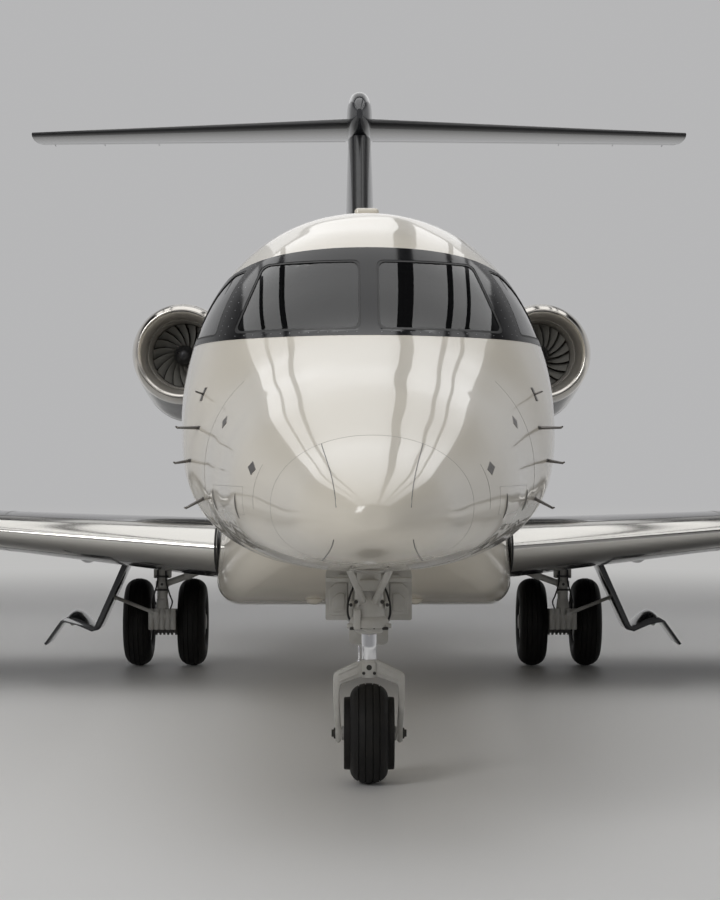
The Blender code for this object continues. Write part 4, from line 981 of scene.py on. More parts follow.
def foil_ring(table, span, first, last, count=16, **how):
    """A closed section between two parts of the chord, over the upper face and back below."""
    parts = [first + (last - first) * share**2 for share in spread(0.0, 1.0, count)]
    upper = [foil_point(table, span, part, 1, **how) for part in parts]
    lower = [foil_point(table, span, part, -1, **how) for part in parts[::-1]]
    return upper + (lower[:-1] if first == 0 else lower)


def control_ring(table, span, upright=False, tilt=INCIDENCE, last=1.0):
    """The section of a control surface with a round nose about its hinge."""
    part = NOSE_PART + thickness(HINGE_PART) * row_at(table, span)[2]
    how = {"upright": upright, "tilt": tilt}
    top = foil_point(table, span, part, 1, **how)
    middle = (top + foil_point(table, span, part, -1, **how)) / 2
    up = top - middle
    forward = Vector((0.0, -up.length, 0.0))
    ring = [middle + up * math.cos(a) + forward * math.sin(a) for a in spread(0.0, math.pi, 13)]
    shares = spread(part, last, 9)[1:]
    ring += [foil_point(table, span, share, -1, **how) for share in shares]
    ring += [foil_point(table, span, share, 1, **how) for share in shares[::-1]]
    return ring


def mirrored(ring, sign):
    """A ring on the left or right side."""
    return [Vector((sign * p[0], p[1], p[2])) for p in ring]


def grown(ring, lift):
    """A section across the aircraft pushed outwards all round by a small distance."""
    moved = []
    for before, here, after in zip([ring[-1], *ring[:-1]], ring, [*ring[1:], ring[0]]):
        run = (after - before).normalized()
        moved.append(here + Vector((0.0, -run.z, run.y)) * lift)
    return moved


def track_ring(span, part, half):
    """The canoe fairing's section at a part of the chord, drawn as the lower half of an oval."""
    share = min(max((part - TRACK_START) / (TRACK_END - TRACK_START), 0.0), 1.0)
    bulge = max(math.sin(math.pi * share), 0.0) ** 0.7
    skin = foil_point(WING, span, part, -1)
    depth = 0.004 + TRACK_DEPTH * bulge
    wide = half * (0.25 + 0.75 * min(bulge * 1.25, 1.0))
    ring = [Vector((span + wide * math.cos(a), skin.y, skin.z - depth * abs(math.sin(a)) ** 0.7))
            for a in spread(0.0, math.pi, 15)]
    inside = foil_point(WING, span, part, 0)
    return ring + [Vector((span - wide, inside.y, inside.z)), Vector((span + wide, inside.y, inside.z))]


def winglet_rings(sign, count=13):
    """The sections of the upturned tip, with more of them where it bends."""
    base = row_at(WING, WING_TIP)[3]
    parts = [share**1.6 for share in spread(0.0, 1.0, count)]
    rings = []
    table = [(math.dist((row[0], row[4]), (WING_TIP, 0.0)) + 0.01, *row) for row in WINGLET]
    for spot in spread(table[0][0], table[-1][0], 30):
        span, leading, chord, ratio, rise, lean = curve_row(table, spot)
        normal = Vector((-math.sin(math.radians(lean)), 0.0, math.cos(math.radians(lean))))
        centre = Vector((span + SEAM, along(leading), base + rise))
        ring = []
        for share, face in [(p, 1) for p in parts] + [(p, -1) for p in parts[:0:-1]]:
            half = face * thickness(share) * ratio * chord
            ring.append(centre + Vector((0.0, share * chord, -INCIDENCE * share * chord)) + normal * half)
        rings.append(mirrored(ring, sign))
    return rings


SPANS = [1.0 + SEAM, 1.25, 1.5, 1.75, 2.0, 2.25, 2.5] + spread(2.5, WING_TIP, 19)[1:]
for side, sign in SIDES:
    edge = [mirrored(foil_ring(WING, s, 0.0, EDGE_PART - 0.0002, 15), sign) for s in SPANS]
    piece(loft(edge), f"wing_edge_{side}", BARE_METAL, stands_for=[f"wing_leading_edge_{side}"])
    box = loft([mirrored(foil_ring(WING, s, EDGE_PART, BOX_END, 18), sign) for s in SPANS])
    flap = loft([mirrored(control_ring(WING, s), sign) for s in spread(*FLAP_SPAN, 16)])
    for span, drop in TRACKS:
        for shape, parts, half in (
            (box, spread(TRACK_START, BOX_END - 0.006, 16), TRACK_HALF),
            (flap, spread(NOSE_PART + 0.012, 0.97, 14), MOVING_TRACK_HALF),
        ):
            add(shape, loft([mirrored(track_ring(span, part, half), sign) for part in parts]))
        _, y, z = foil_point(WING, span, HINGE_PART, 0) - Vector((0.0, 0.0, drop))
        for offset in (-1, 1):
            arm = (sign * (span + offset * (TRACK_HALF + 0.002)), y - 0.11, z)
            add(box, block((0.016, 0.28, 0.05), arm, 0.007))
            add(box, crossbar(sign * (span + offset * 0.044), sign * (span + offset * 0.064), y, z, 0.017))
        add(box, crossbar(sign * (span - 0.055), sign * (span + 0.055), y, z, PIN_RADIUS, sides=16))
    x, y, z = foil_point(WING, *JACK_SPOT, -1)
    add(box, rod((sign * x, y, z + 0.02), (sign * x, y, z - 0.012), JACK_RADIUS, sides=32, edge=0.002))
    _, y, z = foil_point(WING, AILERON_SPAN[0], HINGE_PART, 0)
    add(box, block((0.014, 0.15, 0.03), (sign * CONTROL_GAP, y - 0.04, z), 0.004))
    piece(box, f"wing_box_{side}", GRAPHITE, stands_for=[f"wing_{side}"])
    piece(flap, f"flap_skin_{side}", GRAPHITE, f"flap_{side}", [f"flap_{side}"])
    aileron = loft([mirrored(control_ring(WING, s), sign) for s in spread(*AILERON_SPAN, 10)])
    piece(aileron, f"aileron_skin_{side}", GRAPHITE, f"aileron_{side}", [f"aileron_{side}"])
    piece(loft(winglet_rings(sign)), f"winglet_skin_{side}", BARE_METAL, stands_for=[f"winglet_{side}"])
    rings = []
    for span, lift in ((1.002, 0.003), (1.004, 0.007), (1.015, 0.007), (1.017, 0.003)):
        rings.append(mirrored(grown(foil_ring(WING, span, 0.0, 0.995, 40), lift), sign))
    piece(loft(rings), f"wing_root_seal_{side}", SEAL_BLACK)

# Tail
# A swept fin with the tailplane on top, both riveted aluminium in graphite, with darker erosion-proof edges.
# A moulded fairing covers the joint of the two, and the rudder and elevators hang on hinges behind.
FIN = (
    # height, leading, chord, thickness
    (2.60, 11.56, 3.26, 0.082),
    (4.87, 14.41, 1.56, 0.150),
)
FIN_BOX_END = 0.70
RUDDER_SPAN = (2.99, 4.74)
BULLET = (
    # station, half_width, top, bottom
    (14.30, 0.03, 5.12, 5.02),
    (14.45, 0.10, 5.25, 4.90),
    (14.75, 0.13, 5.36, 4.82),
    (15.40, 0.135, 5.41, 4.80),
    (16.00, 0.12, 5.37, 4.84),
    (16.50, 0.075, 5.25, 4.95),
    (16.85, 0.02, 5.12, 5.06),
)
BULLET_FULLNESS = 2.4
TAILPLANE = (
    # span, leading, chord, thickness, height
    (0.0, 14.70, 1.52, 0.105, 5.045),
    (3.49, 15.60, 0.85, 0.09, 5.045),
)
ELEVATOR_SPAN = (0.145, 3.47)
FIN_EDGE = 0.035
TAILPLANE_EDGE = 0.06

EDGE_COAT = Finish("edge_coat", "graphite", Base_Color=(0.014, 0.014, 0.015), Metallic=0.2, Coat_Weight=0.2,
                   Coat_Roughness=0.1)
EDGE_COAT.rough(20.0, 4.0, 0.2, 0.35)


def whole_span(first, last, count):
    """The tailplane's sections between two parts of its chord, from tip to tip."""
    right = [foil_ring(TAILPLANE, s, first, last, count, tilt=0.0) for s in spread(0.0, TAILPLANE[-1][0], 14)]
    return [mirrored(ring, -1) for ring in right[:0:-1]] + right


heights = spread(FIN[0][0], FIN[-1][0], 20)
piece(loft([foil_ring(FIN, h, 0.0, FIN_EDGE, 12, upright=True) for h in heights]), "fin_edge", EDGE_COAT)
fin = loft([foil_ring(FIN, h, FIN_EDGE + 0.0002, FIN_BOX_END, 18, upright=True) for h in heights])
foot = foil_point(FIN, RUDDER_SPAN[0], HINGE_PART, 0, upright=True)
add(fin, block((0.04, 0.24, 0.04), (0.0, foot.y - 0.12, foot.z - 0.065), 0.008))
piece(fin, "fin_skin", GRAPHITE, stands_for=["fin"])
rudder = [control_ring(FIN, h, upright=True) for h in spread(*RUDDER_SPAN, 12)]
piece(loft(rudder), "rudder_skin", GRAPHITE, "rudder", ["rudder"])
bullet = []
for station in spread(BULLET[0][0], BULLET[-1][0], 50):
    half_width, top, bottom = faired_row(BULLET, station)
    bullet.append(oval(station, half_width, top, bottom, (top + bottom) / 2, 0.0, 48,
                       BULLET_FULLNESS, BULLET_FULLNESS))
piece(loft(bullet), "tail_bullet", GRAPHITE, stands_for=["fin_tip_fairing"])
tailplane = loft(whole_span(TAILPLANE_EDGE + 0.0002, BOX_END, 16))
piece(tailplane, "tailplane_skin", GRAPHITE, stands_for=["tailplane"])
piece(loft(whole_span(0.0, TAILPLANE_EDGE, 12)), "tailplane_edge", EDGE_COAT)
for side, sign in SIDES:
    rings = [mirrored(control_ring(TAILPLANE, s, tilt=0.0), sign) for s in spread(*ELEVATOR_SPAN, 12)]
    piece(loft(rings), f"elevator_skin_{side}", GRAPHITE, f"elevator_{side}", [f"elevator_{side}"])

# Engines
# Two turbofans in graphite cowls on short pylons, each with a bare spun inlet lip.
# A fan of wide curved blades turns on a dark spinner, and guide vanes stand in the duct behind it.
ENGINE_X = 1.4775
ENGINE_Z = 2.445
LIP = (
    # radius, station
    (0.415, 10.12),
    (0.405, 10.05),
    (0.385, 9.98),
    (0.360, 9.95),
    (0.330, 9.97),
    (0.300, 10.04),
    (0.285, 10.12),
)
NACELLE = (
    # station, half_width, top, bottom
    (10.12, 0.415, 0.415, 0.415),
    (10.35, 0.42, 0.42, 0.47),
    (10.75, 0.42, 0.42, 0.545),
    (11.40, 0.42, 0.42, 0.56),
    (12.05, 0.39, 0.39, 0.48),
    (12.75, 0.33, 0.33, 0.35),
)
DUCT = (
    # station, radius
    (10.12, 0.285),
    (10.28, 0.27),
    (10.45, 0.27),
    (10.70, 0.34),
    (12.20, 0.34),
    (12.75, 0.30),
)
CORE = (
    # station, radius
    (10.47, 0.12),
    (10.60, 0.20),
    (11.20, 0.24),
    (12.10, 0.24),
    (12.50, 0.16),
    (12.98, 0.03),
)
LIP_INSIDE = 0.335
FAN_RADIUS = 0.262
HUB_RADIUS = 0.07
FAN_STATION = 10.37
BLADES = 18
BLADE_COVER = 0.84
BLADE_RUN = 0.055
BLADE_SWEEP = 0.50
SPINNER_RUN = (10.17, 10.4695, 0.085)
PYLON = (10.45, 12.45, 0.065)
PYLON_TAPER = 1.15
PYLON_SUNK = 0.02
COWL_HALF = 0.42
STRUTS = 8
STRUT_STATION = 11.3
VANES = 40
VANE_CHORD = 0.10
VANE_STATION = 10.86

FAN_METAL = Finish("fan_titanium", "dark_metal", Base_Color=(0.27, 0.265, 0.245), Specular_IOR_Level=0.15)
FAN_METAL.rough(50.0, 4.0, 0.15, 0.55).set({"Metallic": FAN_METAL.noise(9.0, 3.0) * 0.1 + 0.05})
SPINNER_DARK = Finish("spinner_dark", "dark_metal", Base_Color=(0.045, 0.045, 0.048), Metallic=0.5)
SPINNER_DARK.rough(25.0, 3.0, 0.15, 0.3)
LIP_METAL = Finish("lip_metal", "polished_edge", Base_Color=(0.74, 0.71, 0.66), Metallic=1.0)
lip_side = (LIP_METAL.axis("X") * LIP_METAL.axis("X")) ** 0.5 - ENGINE_X
lip_rise = LIP_METAL.axis("Z") - ENGINE_Z
outside = (lip_side * lip_side + lip_rise * lip_rise).step(LIP_INSIDE**2, 0.012)
LIP_METAL.set({"Roughness": LIP_METAL.noise(12.0, 4.0) * 0.1 + 0.52 - outside * 0.38})
LINER_GREY = Finish("duct_liner", "engine_steel", Base_Color=(0.33, 0.315, 0.29))
LINER_GREY.rough(20.0, 3.0, 0.15, 0.45).bump(LINER_GREY.cells(260.0), 0.0004)
HOT_STEEL = Finish("hot_steel", "engine_steel", Metallic=1.0).rough(30.0, 4.0, 0.3, 0.4)
HOT_STEEL.toned(HOT_STEEL.noise(7.0, 5.0, centre=0.0), (0.42, 0.36, 0.30), (0.16, 0.14, 0.15))


def spun(profile, centre, axis, steps=96, closed=False):
    """A profile of radius and distance along an axis, spun once round it."""
    shape = bmesh.new()
    direction = Vector(axis)
    out = Vector((1.0, 0.0, 0.0)) if direction.z else Vector((0.0, 0.0, 1.0))
    middle = Vector(centre)
    verts = [shape.verts.new(middle + out * radius + direction * run) for radius, run in profile]
    edges = [shape.edges.new(pair) for pair in zip(verts, verts[1:])]
    if closed:
        edges.append(shape.edges.new((verts[-1], verts[0])))
    bmesh.ops.spin(shape, geom=verts + edges, cent=middle, axis=direction, angle=math.tau, steps=steps,
                   use_merge=True, use_duplicate=False)
    bmesh.ops.remove_doubles(shape, verts=shape.verts[:], dist=0.00002)
    bmesh.ops.recalc_face_normals(shape, faces=shape.faces)
    return shape


def smoothed(points, count):
    """A smooth curve through a list of points, sampled evenly in each of its spans."""
    fine = []
    padded = [points[0], *points, points[-1]]
    for a, b, c, d in zip(padded, padded[1:], padded[2:], padded[3:]):
        for t in [k / count for k in range(count)]:
            fine.append(tuple(
                0.5 * (2 * q + (r - p) * t + (2 * p - 5 * q + 4 * r - s) * t**2
                       + (3 * q - p - 3 * r + s) * t**3)
                for p, q, r, s in zip(a, b, c, d)))
    return fine + [points[-1]]


def fan_blade(place):
    """One wide fan blade: it leans more the further out it is, and its edges sweep back round the hub."""
    rings = []
    pitch = math.tau / BLADES
    for share in spread(0.0, 1.0, 12):
        radius = HUB_RADIUS + (FAN_RADIUS - HUB_RADIUS) * share
        thick = 0.0045 * (1 - 0.55 * share)
        sweep = BLADE_SWEEP * share**0.8
        ring = []
        for a in turns(16):
            u, v = math.cos(a), thick / 2 * math.sin(a)
            turn = sweep + pitch * BLADE_COVER / 2 * u
            aft = BLADE_RUN / 2 * u + v * math.sin(math.atan2(radius * pitch, BLADE_RUN))
            ring.append(Vector((-radius * math.sin(turn), aft - 0.012 * share**3, radius * math.cos(turn))))
        rings.append(ring)
    blade = loft(rings)
    blade.transform(place)
    return blade


def cowl_row(station):
    """The cowl's half width, and its height above and below the engine's axis."""
    return faired_row(NACELLE, station, 0.2)


def cowl_ring(station, x):
    """The cowl's outer section at a station."""
    half_width, top, bottom = cowl_row(station)
    return oval(station, half_width, ENGINE_Z + top, ENGINE_Z - bottom, ENGINE_Z, x, 96)


def turned(x, station, share):
    """A place on an engine's axis, turned by a share of a whole turn."""
    return Matrix.Translation((x, along(station), ENGINE_Z)) @ Matrix.Rotation(math.tau * share, 4, "Y")


def pylon_ring(sign, reach):
    """The pylon's section at a share of the way from the fuselage to the cowl."""
    first, last, half = PYLON
    upper = []
    for share in [t**1.5 for t in spread(0.0, 1.0, 22)]:
        run = share * PYLON_TAPER
        wide = half * math.sin(math.pi * run**0.5) ** 0.8 if run < 1 else 0.012
        upper.append((first + (last - first) * share, max(wide, 0.004)))
    ring = []
    for s, w in upper + [(s, -w) for s, w in upper[::-1]]:
        root = skin_at(s, ENGINE_Z + w, sign).x - sign * PYLON_SUNK
        cowl = row_at(NACELLE, s)[0]
        end = sign * (ENGINE_X - cowl * math.sqrt(max(1 - (w / COWL_HALF) ** 2, 0.0)) + PYLON_SUNK)
        ring.append(Vector((root + (end - root) * reach, along(s), ENGINE_Z + w)))
    return ring


for side, sign in SIDES:
    x = sign * ENGINE_X
    origin = (x, 0.0, ENGINE_Z)
    outer = [cowl_ring(station, x) for station in spread(NACELLE[0][0], NACELLE[-1][0], 60)]
    inner = []
    for station in spread(DUCT[-1][0], DUCT[0][0], 40):
        radius = faired_row(DUCT, station, 0.1)[0]
        inner.append(oval(station, radius, ENGINE_Z + radius, ENGINE_Z - radius, ENGINE_Z, x, 96))
    piece(loft(outer + inner, closed=True), f"cowl_{side}", GRAPHITE, stands_for=[f"nacelle_{side}"])
    barrel = [(radius - 0.0006, along(s)) for s in spread(10.121, 10.7, 24)
              for radius in faired_row(DUCT, s, 0.1)]
    barrel += [(radius - 0.003, run) for radius, run in barrel[::-1]]
    piece(spun(barrel, origin, (0, 1, 0), closed=True), f"inlet_barrel_{side}", LINER_GREY)
    lip = [(radius, along(s)) for radius, s in smoothed(LIP, 6)]
    lip[0] = (lip[0][0], lip[0][1] - SEAM)
    lip[-1] = (lip[-1][0], lip[-1][1] - SEAM)
    piece(spun(lip, origin, (0, 1, 0), closed=True), f"inlet_lip_skin_{side}", LIP_METAL,
          stands_for=[f"inlet_lip_{side}"])
    first, last, radius = SPINNER_RUN
    cone = [(radius * math.sin(angle) ** 0.85, along(first + 0.17 * (1 - math.cos(angle))))
            for angle in spread(0.0, math.pi / 2, 18)]
    cone += [(radius, along(last)), (0.0, along(last))]
    spinner = spun(cone, origin, (0, 1, 0), 64)
    piece(spinner, f"spinner_{side}", SPINNER_DARK, f"fan_{side}", [f"fan_{side}"])
    blades = gathered([fan_blade(turned(x, FAN_STATION, n / BLADES)) for n in range(BLADES)])
    piece(blades, f"fan_blades_{side}", FAN_METAL, f"fan_{side}")
    core = [(r, along(s)) for s, r in smoothed(CORE, 8)]
    shape = spun([(0.0, along(10.4705)), *core, (0.0, along(CORE[-1][0]))], origin, (0, 1, 0), 72)
    for n in range(STRUTS):
        strut = turned(x, STRUT_STATION, n / STRUTS) @ Matrix.Translation((0, 0, 0.283))
        add(shape, block((0.014, 0.22, 0.112), strut, 0.006))
    piece(shape, f"engine_core_skin_{side}", HOT_STEEL, stands_for=[f"engine_core_{side}"])
    vanes = bmesh.new()
    lean = Matrix.Translation((0, 0, 0.272)) @ Matrix.Rotation(math.radians(38), 4, "Z")
    for n in range(VANES):
        add(vanes, block((0.005, VANE_CHORD, 0.128), turned(x, VANE_STATION, n / VANES) @ lean, 0.0015, 1))
    piece(vanes, f"guide_vanes_{side}", HOT_STEEL)
    pylon = [pylon_ring(sign, reach) for reach in spread(0.0, 1.0, 14)]
    piece(loft(pylon), f"pylon_skin_{side}", GRAPHITE, stands_for=[f"pylon_{side}"])

# Nose landing gear
# A forged steering cylinder with folding drag braces and a pressed door plate, painted light grey.
# A chromed oleo piston carries the fork, which holds one chined tyre.
NOSE_STATION = 2.35
NOSE_RADIUS = 0.243
NOSE_WIDTH = 0.185
CHINE = 0.122
SHOULDER_PART = 0.42
TREAD_CURVE = 2.15
NOSE_RIM = 0.12
CYLINDER_BASE = 0.73
CYLINDER_RADIUS = 0.0775
PISTON_RADIUS = 0.0365
CROWN_TOP = 0.60
NOSE_DOOR_STATION = 2.56
NOSE_DOOR_TOP = (0.427, 0.777, 1.036)
NOSE_DOOR_FOOT = (0.194, 0.656, 0.79)
NOSE_DOOR_BEADS = (
    # outer and inner edge, foot, top, depth
    (0.196, 0.104, 0.802, 0.962, 0.014),
    (0.183, 0.118, 0.822, 0.912, 0.026),
)
NOSE_Y = along(NOSE_STATION)

GEAR_PAINT = Finish("gear_paint", "gear_grey").rough(40.0, 4.0, 0.25, 0.42)
GEAR_PAINT.toned(GEAR_PAINT.noise(14.0, 6.0, centre=0.32), (0.56, 0.55, 0.52), (0.34, 0.32, 0.28))
GEAR_PAINT.bump(GEAR_PAINT.noise(260.0, 2.0), 0.0002, 0.6)
CHROME = Finish("piston_chrome", "chrome", Base_Color=(0.80, 0.80, 0.81), Metallic=1.0)
CHROME.rough(12.0, 3.0, 0.08, 0.07, stretch=(1.0, 1.0, 8.0))
TYRE_RUBBER = Finish("tyre_rubber", "rubber", Specular_IOR_Level=0.25).rough(70.0, 4.0, 0.25, 0.62)
TYRE_RUBBER.toned(TYRE_RUBBER.noise(11.0, 6.0, centre=0.2), (0.009, 0.009, 0.0093), (0.026, 0.024, 0.021))
TYRE_RUBBER.bump(TYRE_RUBBER.noise(420.0, 2.0), 0.0003)
WHEEL_PAINT = Finish("wheel_paint", "gear_grey").rough(40.0, 4.0, 0.2, 0.38)
WHEEL_PAINT.toned(WHEEL_PAINT.noise(20.0, 5.0, centre=0.15), (0.52, 0.52, 0.51), (0.20, 0.18, 0.16))
STEEL_DARK = Finish("blackened_steel", "dark_metal", Base_Color=(0.06, 0.058, 0.055), Metallic=0.9)
STEEL_DARK.rough(60.0, 4.0, 0.3, 0.42)
HOSE_BLACK = Finish("brake_hose", "rubber", Base_Color=(0.018, 0.018, 0.018)).rough(90.0, 2.0, 0.2, 0.55)


def flat_bar(outline, depth, middle=NOSE_Y, edge=0.006, axis="y"):
    """A forging cut from an outline of width and height, with the rims of both faces rounded over."""
    if axis == "y":
        corners = [(x, middle - depth / 2, z) for x, z in outline]
        shape = plate(corners, (0.0, depth, 0.0))
    else:
        corners = [(middle - depth / 2, y, z) for y, z in outline]
        shape = plate(corners, (depth, 0.0, 0.0))
    rims = [e for e in shape.edges if any(len(f.verts) > 4 for f in e.link_faces) or len(outline) == 4]
    soften(shape, rims, edge, clamp_overlap=True)
    return shape


def bolt(centre, axis, radius=0.008, height=0.007):
    """A hexagon bolt head with its washer."""
    head = bmesh.new()
    bmesh.ops.create_cone(head, cap_ends=True, segments=6, radius1=radius, radius2=radius * 0.94,
                          depth=height, matrix=Matrix.Translation((0, 0, height / 2 + 0.001)))
    bmesh.ops.create_cone(head, cap_ends=True, segments=16, radius1=radius * 1.35, radius2=radius * 1.35,
                          depth=0.0015, matrix=Matrix.Translation((0, 0, 0.0008)))
    head.transform(aimed(centre, axis))
    return head


def add_blocks(shape, blocks, segments=3):
    """Add blocks to a shape from rows of size, centre and edge radius."""
    for size, centre, radius in blocks:
        add(shape, block(size, centre, radius, segments))


TOP_OF_LEG = 1.06
column = [(0.0, CYLINDER_BASE), (0.060, CYLINDER_BASE), (0.068, 0.738), (0.068, 0.752), (0.095, 0.760),
          (0.0955, 0.770), (0.0955, 0.79), (0.088, 0.803), (0.0775, 0.812), (0.0765, 0.83), (0.0765, 0.868),
          (0.0715, 0.880), (0.068, 0.92), (0.060, 0.955), (0.0585, TOP_OF_LEG), (0.0, TOP_OF_LEG)]
leg = spun(column, (0.0, NOSE_Y, 0.0), (0, 0, 1), 72)
for _, sign in SIDES:
    foot, head = Vector((sign * 0.028, NOSE_Y - 0.05, 0.885)), Vector((sign * 0.15, along(1.72), 1.19))
    add(leg, rod(foot, foot.lerp(head, 0.93), 0.0175, 0.0145))
    add(leg, crossbar(foot.x - 0.022, foot.x + 0.022, foot.y, foot.z, 0.021))
    add_blocks(leg, (
        ((0.012, 0.075, 0.05), (sign * 0.052, NOSE_Y - 0.045, 0.888), 0.005),
        ((0.020, 0.04, 0.034), (sign * 0.086, NOSE_Y - 0.02, 0.868), 0.005),
        ((0.05, 0.05, 0.022), (sign * 0.083, NOSE_Y - 0.03, 0.766), 0.005),
        ((0.16, 0.03, 0.022), (sign * 0.13, NOSE_Y + 0.09, 0.985), 0.005),
    ))
add(leg, crossbar(-0.07, 0.07, NOSE_Y - 0.05, 0.885, 0.011))
add(leg, block((0.10, 0.05, 0.055), (0.0, NOSE_Y - 0.075, 0.965), 0.008))
add(leg, block((0.034, 0.034, 0.10), (-0.058, NOSE_Y - 0.078, 0.80), 0.008))
piece(leg, "nose_leg_forging", GEAR_PAINT, stands_for=["nose_gear_leg"])

dark_bits = bmesh.new()
for _, sign in SIDES:
    add(dark_bits, block((0.030, 0.012, 0.014), (sign * 0.078, NOSE_Y - 0.062, 0.755), 0.004))
    add(dark_bits, bolt((sign * 0.088, NOSE_Y - 0.044, 0.868), (0, -1, 0), 0.0065))
    add(dark_bits, bolt((sign * 0.063, NOSE_Y - 0.084, 0.885), (0, -1, 0), 0.007))
    add(dark_bits, rod((sign * 0.045, NOSE_Y - 0.08, 0.905), (sign * 0.045, NOSE_Y - 0.08, 0.93), 0.006))
for angle in turns(8, 0.3):
    spot = (0.082 * math.cos(angle), NOSE_Y + 0.082 * math.sin(angle), 0.759)
    add(dark_bits, bolt(spot, (0, 0, -1), 0.005, 0.005))
piece(dark_bits, "nose_leg_fasteners", STEEL_DARK)

hoses = bmesh.new()
for sign, offset in ((1, 0.0), (-1, 0.012)):
    line = ((0.03, 0.085, 1.02), (0.075, 0.06, 0.95), (0.10, 0.03 + offset, 0.88), (0.103, 0.02, 0.82),
            (0.085, -0.01, 0.775))
    pipe(hoses, smoothed([(sign * x, NOSE_Y + run, z) for x, run, z in line], 6), 0.0055)
piece(hoses, "nose_leg_hoses", HOSE_BLACK)

width, low, high = NOSE_DOOR_TOP
foot_width, foot_low, _ = NOSE_DOOR_FOOT
half, foot_half = width / 2, foot_width / 2
door_y = along(NOSE_DOOR_STATION)
t_shape = eased([(half, high, 0.035), (-half, high, 0.035), (-half, low, 0.012), (-foot_half, low, 0.018),
                 (-foot_half, foot_low, 0.032), (foot_half, foot_low, 0.032), (foot_half, low, 0.018),
                 (half, low, 0.012)])
sheet = plate([(x, door_y - 0.006, z) for x, z in t_shape], (0.0, 0.012, 0.0))
for _, sign in SIDES:
    for outer_x, inner_x, base, top, depth in NOSE_DOOR_BEADS:
        corners = ((inner_x, base, 0.012), (outer_x, base, 0.012), (outer_x, top - 0.03, 0.01),
                   (outer_x - 0.03, top, 0.01), (inner_x, top, 0.012))
        ridge = eased([(sign * x, z, cut) for x, z, cut in corners], 4)
        bead = plate([(x, door_y - 0.004, z) for x, z in ridge[::sign]], (0.0, -depth, 0.0))
        front_y = door_y - 0.004 - depth
        soften(bead, [e for e in bead.edges if all(abs(v.co.y - front_y) < 1e-6 for v in e.verts)], 0.006)
        add(sheet, bead)
    add(sheet, block((0.020, 0.022, 0.24), (sign * 0.090, door_y - 0.012, 0.905), 0.005))
add(sheet, block((0.30, 0.016, 0.02), (0.0, door_y - 0.010, 0.995), 0.005))
add(sheet, block((0.03, 0.15, 0.034), (0.0, (door_y + NOSE_Y + CYLINDER_RADIUS) / 2 - 0.012, 0.88), 0.006))
piece(sheet, "nose_door_plate", GEAR_PAINT, stands_for=["nose_gear_door"])

piston = rod((0, NOSE_Y, CROWN_TOP - 0.03), (0, NOSE_Y, CYLINDER_BASE - SEAM), PISTON_RADIUS, sides=64)
piece(piston, "nose_piston_chrome", CHROME, "nose_steering", ["nose_piston"])
steering_rod = bmesh.new()
for top, radius in ((0.668, 0.0045), (0.600, 0.009)):
    add(steering_rod, rod((-0.049, NOSE_Y - 0.026, 0.585), (-0.049, NOSE_Y - 0.026, top), radius))
piece(steering_rod, "nose_steering_rod", CHROME, "nose_steering")

FORK_SHAPE = (
    # half width, height: down the outside of one arm and up its inside
    (0.045, 0.597), (0.062, 0.590), (0.158, 0.542), (0.1725, 0.530), (0.1745, 0.512), (0.1740, 0.46),
    (0.1735, 0.40), (0.1700, 0.34), (0.1640, 0.28), (0.1620, 0.252), (0.1620, 0.226), (0.1580, 0.206),
    (0.1500, 0.1995), (0.1420, 0.203), (0.1375, 0.216), (0.1370, 0.27), (0.1400, 0.33), (0.1440, 0.40),
    (0.1430, 0.455), (0.1360, 0.484), (0.100, 0.498), (0.060, 0.513), (0.030, 0.522),
)
fork_outline = [*FORK_SHAPE, *[(-x, z) for x, z in FORK_SHAPE[::-1]]]
fork = flat_bar(fork_outline, 0.072, edge=0.0055)
add(fork, rod((0, NOSE_Y, 0.515), (0, NOSE_Y, 0.600), 0.048, sides=48, edge=0.004))
add(fork, block((0.070, 0.10, 0.070), (0, NOSE_Y, 0.5575), 0.010, 4))
add(fork, rod((0, NOSE_Y - 0.058, 0.566), (0, NOSE_Y - 0.03, 0.566), 0.0235, sides=40))
for _, sign in SIDES:
    for y in (-0.037, 0.037):
        for rib in ([(0.052, 0.585), (0.150, 0.540), (0.150, 0.528), (0.052, 0.571)],
                    [(0.052, 0.543), (0.142, 0.506), (0.142, 0.496), (0.052, 0.530)]):
            add(fork, flat_bar([(sign * x, z) for x, z in rib][::sign], 0.010, NOSE_Y + y, 0.003))
    add(fork, crossbar(sign * 0.1375, sign * 0.163, NOSE_Y, NOSE_RADIUS, 0.040, sides=48))
piece(fork, "nose_fork_forging", GEAR_PAINT, "nose_steering", ["nose_fork"])
nuts = bmesh.new()
for _, sign in SIDES:
    add(nuts, crossbar(sign * 0.163, sign * 0.170, NOSE_Y, NOSE_RADIUS, 0.027, sides=40))
    add(nuts, bolt((sign * 0.170, NOSE_Y, NOSE_RADIUS), (sign, 0, 0), 0.0185, 0.011))
add(nuts, rod((0, NOSE_Y - 0.0595, 0.566), (0, NOSE_Y - 0.05, 0.566), 0.0135, sides=32))
for x in (0.026, -0.026):
    add(nuts, bolt((x, NOSE_Y - 0.05, 0.538), (0, -1, 0), 0.006))
piece(nuts, "nose_axle_nuts", STEEL_DARK, "nose_steering")


